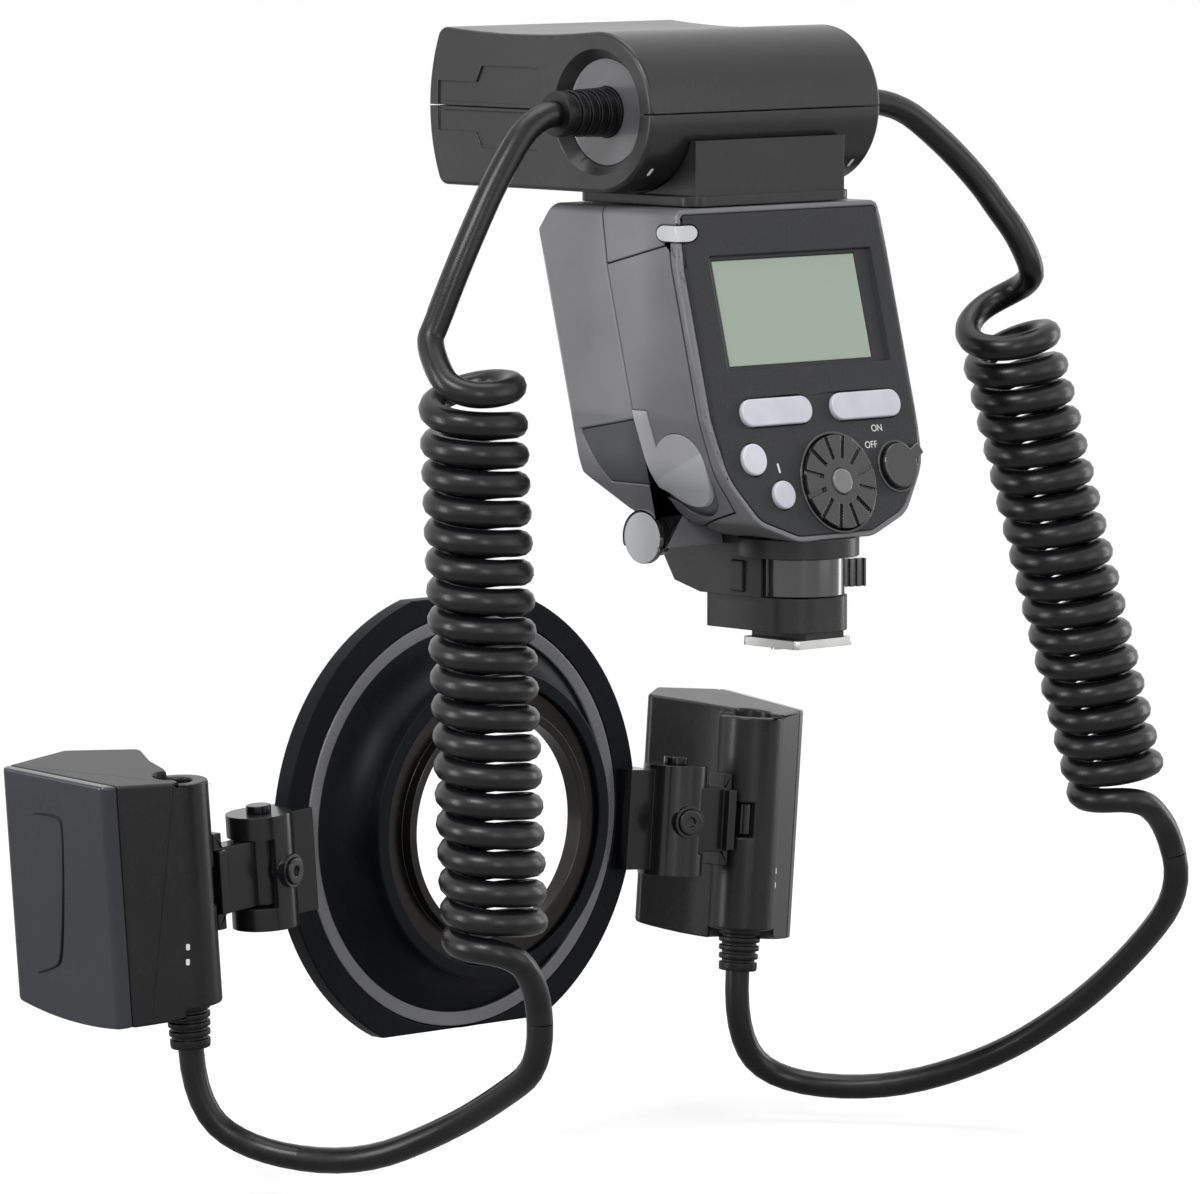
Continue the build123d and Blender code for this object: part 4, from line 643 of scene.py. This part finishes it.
foot_steel = plastic(
    "foot_steel", (0.55, 0.55, 0.54), gloss=0.3, grain=900, relief=0.004, cloud=0.1, dust=0.12, metal=1.0
)
pin_gilt = plastic(
    "pin_gilt", (0.72, 0.5, 0.2), gloss=0.25, grain=900, relief=0.003, cloud=0.08, dust=0.1, metal=1.0
)
pin_steel = plastic(
    "pin_steel", (0.5, 0.5, 0.51), gloss=0.26, grain=1200, relief=0.004, cloud=0.08, dust=0.08, metal=1.0
)
rounded("foot_plate", foot_steel, foot_plate_edge)
finish("contact_pins", pin_gilt)
finish("locking_pin", pin_steel)


# Foot housing. A black glass-filled nylon block under the body, moulded with a stepped collar, and the
# ribbed lock ring of glossy acetal that turns on it to drop the locking pin, with its release key.
lock_ring_edge = 0.3 * mm
release_edge = 0.2 * mm
block_black = plastic(
    "block_black", (0.018, 0.018, 0.019), gloss=0.34, grain=1600, relief=0.012, cloud=0.07, dust=0.015,
    edge=0.35, shine=0.3,
)
lock_black = plastic(
    "lock_black", (0.008, 0.008, 0.009), gloss=0.2, grain=900, relief=0.004, cloud=0.04, dust=0.012,
    coat=0.8, edge=0.4, shine=0.6,
)
finish("foot_housing", block_black)
rounded("lock_lever", lock_black, lock_ring_edge)
rounded("lock_release", block_black, release_edge)


# Power pack and board. Four alloy-jacketed cells lie in a moulded bay, and beside them a fibreglass
# board carries the main capacitor. They are only seen with the door open.
cell_jacket = plastic(
    "cell_jacket", (0.34, 0.36, 0.4), gloss=0.3, grain=700, relief=0.003, cloud=0.05, dust=0.03, metal=0.6
)
board_mask = plastic(
    "board_mask", (0.012, 0.1, 0.04), gloss=0.3, grain=2600, relief=0.01, cloud=0.12, dust=0.05, coat=0.3
)
finish("battery_cells", cell_jacket)
finish("main_board", board_mask)


# Controller body. A front and a rear shell of satin charcoal polycarbonate, screwed together along a
# deep parting line, with a battery door on the left whose latch slides in a pocket and has a painted
# highlight on its lower half. A glossy barrel with a pale round cap sits under the door, and a dark red
# filter in the front wall.
front_shell_edge = 0.5 * mm
rear_shell_edge = 0.45 * mm
door_edge = 0.35 * mm
cover_edge = 0.3 * mm
filter_edge = 0.4 * mm
latch_edge = 0.25 * mm
latch_split_high = Vector((0, 1.7, 45.0)) * mm
latch_split_low = Vector((0, 15.3, 38.9)) * mm
cap_edge = 0.25 * mm
cap_face_x = -31.5 * mm
cap_face_turn = -0.7
shell_grey = plastic(
    "shell_grey", (0.14, 0.139, 0.146), gloss=0.3, grain=2200, relief=0.008, cloud=0.06, dust=0.02,
    edge=0.5, shine=0.5,
)
cover_grey = plastic(
    "cover_grey", (0.055, 0.056, 0.06), gloss=0.5, grain=2000, relief=0.015, cloud=0.08, dust=0.02,
    edge=0.3, shine=0.3,
)
latch_grey = plastic(
    "latch_grey", (0.36, 0.36, 0.375), gloss=0.38, grain=2200, relief=0.008, cloud=0.05, dust=0.02, edge=0.3
)
# A paler copy of the latch grey, for the painted highlight on the latch's lower half.
latch_painted_highlight = plastic(
    "latch_painted_highlight", (0.42, 0.425, 0.435), gloss=0.42, grain=2200, relief=0.008, cloud=0.05, dust=0.05, edge=0.3
)
cap_pale = plastic(
    "cap_pale", (0.4, 0.405, 0.415), gloss=0.4, grain=2200, relief=0.008, cloud=0.05, dust=0.05, edge=0.3
)
barrel_gloss = plastic(
    "barrel_gloss", (0.006, 0.006, 0.007), gloss=0.18, grain=900, relief=0.004, cloud=0.04, dust=0.012,
    coat=0.8, shine=0.5,
)
red_filter = plastic(
    "red_filter", (0.09, 0.003, 0.006), gloss=0.08, grain=500, relief=0.001, cloud=0.02, dust=0.03, coat=1.0
)
rounded("front_shell", shell_grey, front_shell_edge, clamp=False)
rounded("rear_shell", shell_grey, rear_shell_edge, clamp=False)
rounded("battery_door", shell_grey, door_edge)
rounded("terminal_cover", cover_grey, cover_edge)
rounded("af_window", red_filter, filter_edge)

# The latch's lower half, below a slanted plane, takes the paler grey as a painted highlight.
latch = rounded("battery_latch", latch_grey, latch_edge)
latch.data.materials.append(latch_painted_highlight)
along_split = (latch_split_high - latch_split_low).normalized()
below_split = Vector((0, -along_split.z, along_split.y))
if below_split.z > 0:
    below_split = -below_split
shape = bmesh.new()
shape.from_mesh(latch.data)
bmesh.ops.bisect_plane(
    shape,
    geom=shape.verts[:] + shape.edges[:] + shape.faces[:],
    plane_co=latch_split_low,
    plane_no=below_split,
)
for face in shape.faces:
    if (face.calc_center_median() - latch_split_low).dot(below_split) > 0:
        face.material_index = 1
shape.to_mesh(latch.data)
shape.free()

cap = rounded("socket_cap", barrel_gloss, cap_edge)
cap.data.materials.append(cap_pale)
for face in cap.data.polygons:
    if face.normal.x < cap_face_turn and face.center.x < cap_face_x:
        face.material_index = 1


# Control panel. A separate moulding in finely textured black, set into the rear of the shells, with a
# monochrome liquid crystal display behind a flush window and the legend for the switch printed on it.
panel_lean = radians(14.6)
panel_foot = Vector((0, -13.0, 25.5)) * mm
panel_edge = 0.35 * mm
display_edge = 0.2 * mm
# A plate's size is its width, height, corner radius and thickness; a place on the panel is how far
# across, up the slope and out of it, all in millimetres.
plate_corner_steps = 6
plate_rim_share = 0.4
lamp_mark_size = (0.55, 2.3, 0.2, 0.06)
lamp_mark_place = (-14.6, 17.6, -0.01)
lamp_mark_turn = radians(8)
legend_size = 2.3
legend_thick = 0.03
legend_words = (("ON", 19.0, 24.4), ("OFF", 16.2, 20.6))
panel_black = plastic(
    "panel_black", (0.01, 0.0105, 0.0125), gloss=0.46, grain=1500, relief=0.03, cloud=0.08, dust=0.015,
    edge=0.4, shine=0.28,
)
lcd_green = plastic(
    "lcd_green", (0.33, 0.39, 0.33), gloss=0.22, grain=5200, relief=0.002, cloud=0.012, dust=0.01,
    coat=0.4, shine=0.3,
)
mark_white = plastic(
    "mark_white", (0.72, 0.72, 0.72), gloss=0.5, grain=3000, relief=0.005, cloud=0.04, dust=0.05
)
rounded("control_panel", panel_black, panel_edge, clamp=False)
rounded("lcd_window", lcd_green, display_edge)


def axes(place, across, up, outward):
    """A matrix from three directions and a place."""
    turned = Matrix((across, up, outward)).transposed().to_4x4()
    return Matrix.Translation(place) @ turned


def panel_spot(x, rise, out):
    """The matrix that lays a small piece on the panel, x across, y up the slope and z outwards."""
    up = Vector((0, sin(panel_lean), cos(panel_lean)))
    outward = Vector((0, -cos(panel_lean), sin(panel_lean)))
    place = panel_foot + Vector((x, 0, 0)) * mm + up * (rise * mm) + outward * (out * mm)
    return axes(place, Vector((1, 0, 0)), up, outward)


def small_plate(width, height, corner, thick, place):
    """A thin plate with rounded corners and a softened rim, lying on a place."""
    shape = bmesh.new()
    bmesh.ops.create_grid(shape, x_segments=1, y_segments=1, size=0.5)
    bmesh.ops.scale(shape, vec=(width * mm, height * mm, 1), verts=shape.verts)
    bevelled(shape, shape.verts[:], corner * mm, "VERTICES", plate_corner_steps)
    raised = bmesh.ops.extrude_face_region(shape, geom=shape.faces[:])
    tops = [part for part in raised["geom"] if isinstance(part, bmesh.types.BMVert)]
    bmesh.ops.translate(shape, vec=(0, 0, thick * mm), verts=tops)
    bmesh.ops.recalc_face_normals(shape, faces=shape.faces)
    rim = [edge for edge in shape.edges if all(vert in tops for vert in edge.verts)]
    bevelled(shape, rim, thick * mm * plate_rim_share)
    shape.transform(place)
    return shape


def printed(word, place):
    """A plain printed word as a thin mesh on a place."""
    letters = bpy.data.curves.new(word, "FONT")
    letters.body = word
    letters.size = legend_size * mm
    letters.align_x = "CENTER"
    letters.extrude = legend_thick * mm
    drawn = bpy.data.objects.new(word, letters)
    bpy.context.collection.objects.link(drawn)
    shape = bmesh.new()
    shape.from_mesh(taken_mesh(drawn))
    bmesh.ops.remove_doubles(shape, verts=shape.verts, dist=weld)
    bmesh.ops.recalc_face_normals(shape, faces=shape.faces)
    shape.transform(place)
    return shape


lamp_mark_spot = panel_spot(*lamp_mark_place) @ Matrix.Rotation(lamp_mark_turn, 4, "Z")
lamp_mark = small_plate(*lamp_mark_size, lamp_mark_spot)
piece("lamp_mark", lamp_mark, mark_white, "controller")
for word, x, rise in legend_words:
    legend = printed(word, panel_spot(x, rise, legend_thick))
    piece(f"switch_{word.lower()}", legend, mark_white, "controller")


# Keys, dial and switch. The keys are translucent silicone caps over white lamps, the dial is a glossy
# black jog wheel with twelve hollow petals round a dished centre key, and the switch is a turning lever.
key_edge = 0.3 * mm
dial_edge = 0.22 * mm
set_key_edge = 0.4 * mm
switch_edge = 0.4 * mm
pilot_edge = 0.25 * mm
ring_corner_steps = 3
ring_weld = 0.002 * mm
# Each seat ring has a label, a place across and up the slope, and an inner radius, in millimetres.
seats = (("dial", 3.5, 13.2, 11.35), ("switch", 23.5, 15.8, 5.6))
seat_width = 0.7
seat_rear = -0.35 * mm
seat_front = 0.3 * mm
seat_edge = 0.2 * mm
seat_steps = 72
seat_turn = radians(90)
key_silicone = plastic(
    "key_silicone", (0.56, 0.565, 0.62), gloss=0.34, grain=1500, relief=0.004, cloud=0.08, dust=0.03, coat=0.2
)
dial_gloss = plastic(
    "dial_gloss", (0.014, 0.014, 0.015), gloss=0.2, grain=900, relief=0.004, cloud=0.05, dust=0.012,
    coat=0.5, edge=0.3, shine=0.5,
)
key_grey = plastic(
    "key_grey", (0.16, 0.16, 0.165), gloss=0.22, grain=900, relief=0.004, cloud=0.05, dust=0.02,
    coat=0.5, edge=0.3,
)
pilot_pale = plastic(
    "pilot_pale", (0.5, 0.505, 0.52), gloss=0.36, grain=1500, relief=0.004, cloud=0.06, dust=0.04
)
seat_black = plastic(
    "seat_black", (0.03, 0.03, 0.032), gloss=0.24, grain=900, relief=0.004, cloud=0.05, dust=0.02,
    coat=0.3, edge=0.3,
)


def turned_ring(inner, outer, rear, front, corner, steps):
    """A flat ring turned about Y, with its four corners rounded."""
    shape = bmesh.new()
    bmesh.ops.create_grid(shape, x_segments=1, y_segments=1, size=0.5)
    bmesh.ops.scale(shape, vec=(outer - inner, front - rear, 1), verts=shape.verts)
    bmesh.ops.translate(shape, verts=shape.verts, vec=((outer + inner) / 2, (front + rear) / 2, 0))
    bevelled(shape, shape.verts[:], corner, "VERTICES", ring_corner_steps)
    bmesh.ops.delete(shape, geom=shape.faces[:], context="FACES_ONLY")
    bmesh.ops.spin(
        shape,
        geom=shape.verts[:] + shape.edges[:],
        cent=(0, 0, 0),
        axis=(0, 1, 0),
        angle=2 * pi,
        steps=steps,
        use_merge=True,
    )
    bmesh.ops.remove_doubles(shape, verts=shape.verts, dist=ring_weld)
    bmesh.ops.recalc_face_normals(shape, faces=shape.faces)
    return shape


for node in ("wide_button_left", "wide_button_right", "mode_button", "lamp_button"):
    rounded(node, key_silicone, key_edge)
rounded("control_dial", dial_gloss, dial_edge)
rounded("set_button", key_grey, set_key_edge)
rounded("power_switch", dial_gloss, switch_edge)
rounded("test_button", pilot_pale, pilot_edge)
for label, x, rise, radius in seats:
    outer = (radius + seat_width) * mm
    seat = turned_ring(radius * mm, outer, seat_rear, seat_front, seat_edge, seat_steps)
    seat.transform(panel_spot(x, rise, 0) @ Matrix.Rotation(seat_turn, 4, "X"))
    piece(f"{label}_seat", seat, seat_black, "controller")


# Neck. A black nylon saddle that turns on the top of the body and carries the cord housing between
# its lugs, moulded in one with its base plate.
saddle_edge = 0.5 * mm
neck_black = plastic(
    "neck_black", (0.018, 0.018, 0.019), gloss=0.3, grain=1600, relief=0.012, cloud=0.07, dust=0.015,
    edge=0.5, shine=0.3,
)
rounded("neck_saddle", neck_black, saddle_edge)


# Cord housing. Two black polycarbonate shells with a satin sheen, snapped together along a seam, turn
# on a steel shaft; a dished disc at each end holds a ribbed rubber relief. White dashes mark the tilt.
housing_edge = 0.4 * mm
disc_edge = 0.3 * mm
relief_edge = 0.25 * mm
tilt_mark_size = (0.9, 2.4, 0.4, 0.08)
tilt_mark_spots = (("left", -32.2), ("right", 32.6))
tilt_mark_y = 16.0
tilt_mark_z = 110.35
tilt_mark_proud = 0.02
tilt_mark_across = Vector((1, 0, 0))
tilt_mark_out = Vector((0, -0.69, -0.724)).normalized()
tilt_mark_up = tilt_mark_out.cross(tilt_mark_across)
housing_black = plastic(
    "housing_black", (0.014, 0.014, 0.0145), gloss=0.3, grain=1800, relief=0.008, cloud=0.06, dust=0.015,
    coat=0.1, edge=0.6, shine=0.35,
)
disc_black = plastic(
    "disc_black", (0.095, 0.095, 0.1), gloss=0.24, grain=900, relief=0.004, cloud=0.05, dust=0.015,
    coat=0.3, edge=0.3, shine=0.5,
)
relief_rubber = plastic(
    "relief_rubber", (0.004, 0.004, 0.005), gloss=0.42, grain=2600, relief=0.01, cloud=0.08, dust=0.012,
    shine=0.25,
)
rounded("head_upper_shell", housing_black, housing_edge)
rounded("head_lower_shell", housing_black, housing_edge)
rounded("end_discs", disc_black, disc_edge)
rounded("head_strain_reliefs", relief_rubber, relief_edge)
finish("tilt_shaft", pin_steel)
for side, x in tilt_mark_spots:
    place = Vector((x, tilt_mark_y, tilt_mark_z)) * mm + tilt_mark_out * tilt_mark_proud * mm
    mark = small_plate(*tilt_mark_size, axes(place, tilt_mark_across, tilt_mark_up, tilt_mark_out))
    piece(f"tilt_mark_{side}", mark, mark_white, "cord_housing")


# Ring. A wide black bell, moulded thin and finished matt inside against reflections, with a satin band
# behind its rim and a dark anodised adapter screwed into its neck; a sprung key on top releases it.
ring_axis = Vector((0, 0, -52.3)) * mm
band_inner = 46.9 * mm
band_outer = 50.35 * mm
band_rear = 115.9 * mm
band_front = 117.0 * mm
band_edge = 0.35 * mm
band_steps = 160
bell_edge = 0.4 * mm
adapter_edge = 0.25 * mm
ring_key_edge = 0.25 * mm
bell_black = plastic(
    "bell_black", (0.0025, 0.003, 0.0045), gloss=0.42, grain=1800, relief=0.01, cloud=0.08, dust=0.008,
    edge=0.4, shine=0.1,
)
band_satin = plastic(
    "band_satin", (0.15, 0.15, 0.158), gloss=0.28, grain=1400, relief=0.006, cloud=0.06, dust=0.015, coat=0.2
)
adapter_dark = plastic(
    "adapter_dark", (0.03, 0.028, 0.027), gloss=0.25, grain=1400, relief=0.004, cloud=0.06, dust=0.015,
    metal=0.9,
)
rounded("ring_body", bell_black, bell_edge)
rounded("adapter_ring", adapter_dark, adapter_edge)
rounded("ring_release", block_black, ring_key_edge)

band = turned_ring(band_inner, band_outer, band_rear, band_front, band_edge, band_steps)
bmesh.ops.translate(band, verts=band.verts, vec=ring_axis)
piece("rim_band", band, band_satin, "controller")


# Clips and arms. Each clip of glossy black nylon hooks over the rim, with a sprung key and a knuckle
# on a steel pin; the arm turns on that pin and hooks into the barrel of its head.
clip_edge = 0.4 * mm
clip_key_edge = 0.25 * mm
pin_edge = 0.25 * mm
arm_edge = 0.3 * mm
clip_black = plastic(
    "clip_black", (0.006, 0.006, 0.007), gloss=0.24, grain=1200, relief=0.006, cloud=0.06, dust=0.012,
    coat=0.2, edge=0.5, shine=0.35,
)
pin_black = plastic(
    "pin_black", (0.02, 0.02, 0.022), gloss=0.2, grain=1200, relief=0.004, cloud=0.06, dust=0.05, metal=0.8
)
for side in ("left", "right"):
    rounded(f"clip_{side}", clip_black, clip_edge)
    rounded(f"clip_button_{side}", clip_black, clip_key_edge)
    rounded(f"knuckle_pin_{side}", pin_black, pin_edge)
    rounded(f"arm_{side}", clip_black, arm_edge)


# Flash heads. Each is a black shell with a glossy blue-grey cap let into its back, and a ribbed clear
# window in front of a bright reflector; the shade in the cap's groove is painted with a thin dark tube,
# and white dots mark the barrel.
head_edge = 0.6 * mm
window_edge = 0.4 * mm
lamp_edge = 0.15 * mm
head_relief_edge = 0.2 * mm
groove_shade_width = 0.7 * mm
# Places on the left head, in millimetres; the right one has them mirrored.
cap_groove_shade = (
    (-116.75, 137.5, -42.3),
    (-116.2, 129.8, -41.8),
    (-115.5, 128.2, -45.0),
    (-113.7, 131.2, -76.0),
    (-113.7, 133.5, -79.0),
    (-114.0, 139.5, -80.6),
)
barrel_marks = ((-96.3, 105.98, -72.8), (-96.2, 106.18, -76.4))
barrel_out = (-0.51, -0.86, -0.04)
barrel_mark_size = (0.9, 1.5, 0.3, 0.08)
window_colour = (0.94, 0.95, 0.96, 1)
window_clearness = 0.85
window_bending = 1.49
window_smooth = 0.06
window_hazy = 0.2
rib_scale = 190.0
rib_height = 0.3 * mm
head_black = plastic(
    "head_black", (0.008, 0.008, 0.009), gloss=0.34, grain=1800, relief=0.01, cloud=0.06, dust=0.015,
    edge=0.7, shine=0.3,
)
cap_blue = plastic(
    "cap_blue", (0.02, 0.021, 0.028), gloss=0.2, grain=700, relief=0.003, cloud=0.05, dust=0.012,
    coat=0.4, edge=0.7, shine=0.4,
)
# Near-black for the painted shade in the cap's groove.
groove_painted_shade = plastic(
    "groove_painted_shade", (0.003, 0.003, 0.004), gloss=0.4, grain=1800, relief=0.004, cloud=0.05, dust=0.01,
    shine=0.2,
)
mirror_foil = plastic(
    "mirror_foil", (0.78, 0.78, 0.79), gloss=0.16, grain=400, relief=0.03, cloud=0.08, dust=0.02, metal=0.9
)


def clear_window(name):
    """Moulded clear acrylic with fine prism ribs on its face."""
    made = bpy.data.materials.new(name)
    made.use_nodes = True
    tree = made.node_tree
    shader = tree.nodes["Principled BSDF"]
    shader.inputs["Base Color"].default_value = window_colour
    shader.inputs["Transmission Weight"].default_value = window_clearness
    shader.inputs["IOR"].default_value = window_bending
    place = tree.nodes.new("ShaderNodeTexCoord").outputs["Object"]
    ribs = tree.nodes.new("ShaderNodeTexWave")
    ribs.bands_direction = "Z"
    ribs.inputs["Scale"].default_value = rib_scale
    ribs.inputs["Distortion"].default_value = 0.0
    tree.links.new(place, ribs.inputs["Vector"])
    rough = tree.nodes.new("ShaderNodeMapRange")
    rough.inputs["To Min"].default_value = window_smooth
    rough.inputs["To Max"].default_value = window_hazy
    tree.links.new(noise(tree, place, scale=300.0, detail=4.0), rough.inputs["Value"])
    tree.links.new(rough.outputs["Result"], shader.inputs["Roughness"])
    bump = tree.nodes.new("ShaderNodeBump")
    bump.inputs["Strength"].default_value = 1.0
    bump.inputs["Distance"].default_value = rib_height
    tree.links.new(ribs.outputs["Fac"], bump.inputs["Height"])
    tree.links.new(bump.outputs["Normal"], shader.inputs["Normal"])
    return made


window_acrylic = clear_window("window_acrylic")
for side, way in (("left", 1), ("right", -1)):
    rounded(f"flash_shell_{side}", head_black, head_edge, clamp=False)
    rounded(f"flash_cap_{side}", cap_blue, head_edge)
    rounded(f"flash_window_{side}", window_acrylic, window_edge)
    rounded(f"flash_lamp_{side}", mirror_foil, lamp_edge)
    rounded(f"barrel_pin_{side}", pin_black, pin_edge)
    rounded(f"flash_strain_relief_{side}", relief_rubber, head_relief_edge)
    # A thin dark tube along the cap's groove paints the shade inside it.
    line = centreline([Vector((x * way, y, z)) * mm for x, y, z in cap_groove_shade])
    groove_shade = tube(f"cap_groove_shade_{side}", line, groove_shade_width, groove_painted_shade)
    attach(groove_shade, f"flash_{side}")
    out = Vector((barrel_out[0] * way, *barrel_out[1:])).normalized()
    across = out.cross(Vector((0, 0, 1))).normalized()
    for count, (x, y, z) in enumerate(barrel_marks):
        spot = axes(Vector((x * way, y, z)) * mm, across, out.cross(across), out)
        mark = small_plate(*barrel_mark_size, spot)
        piece(f"barrel_mark_{side}_{count}", mark, mark_white, f"flash_{side}")
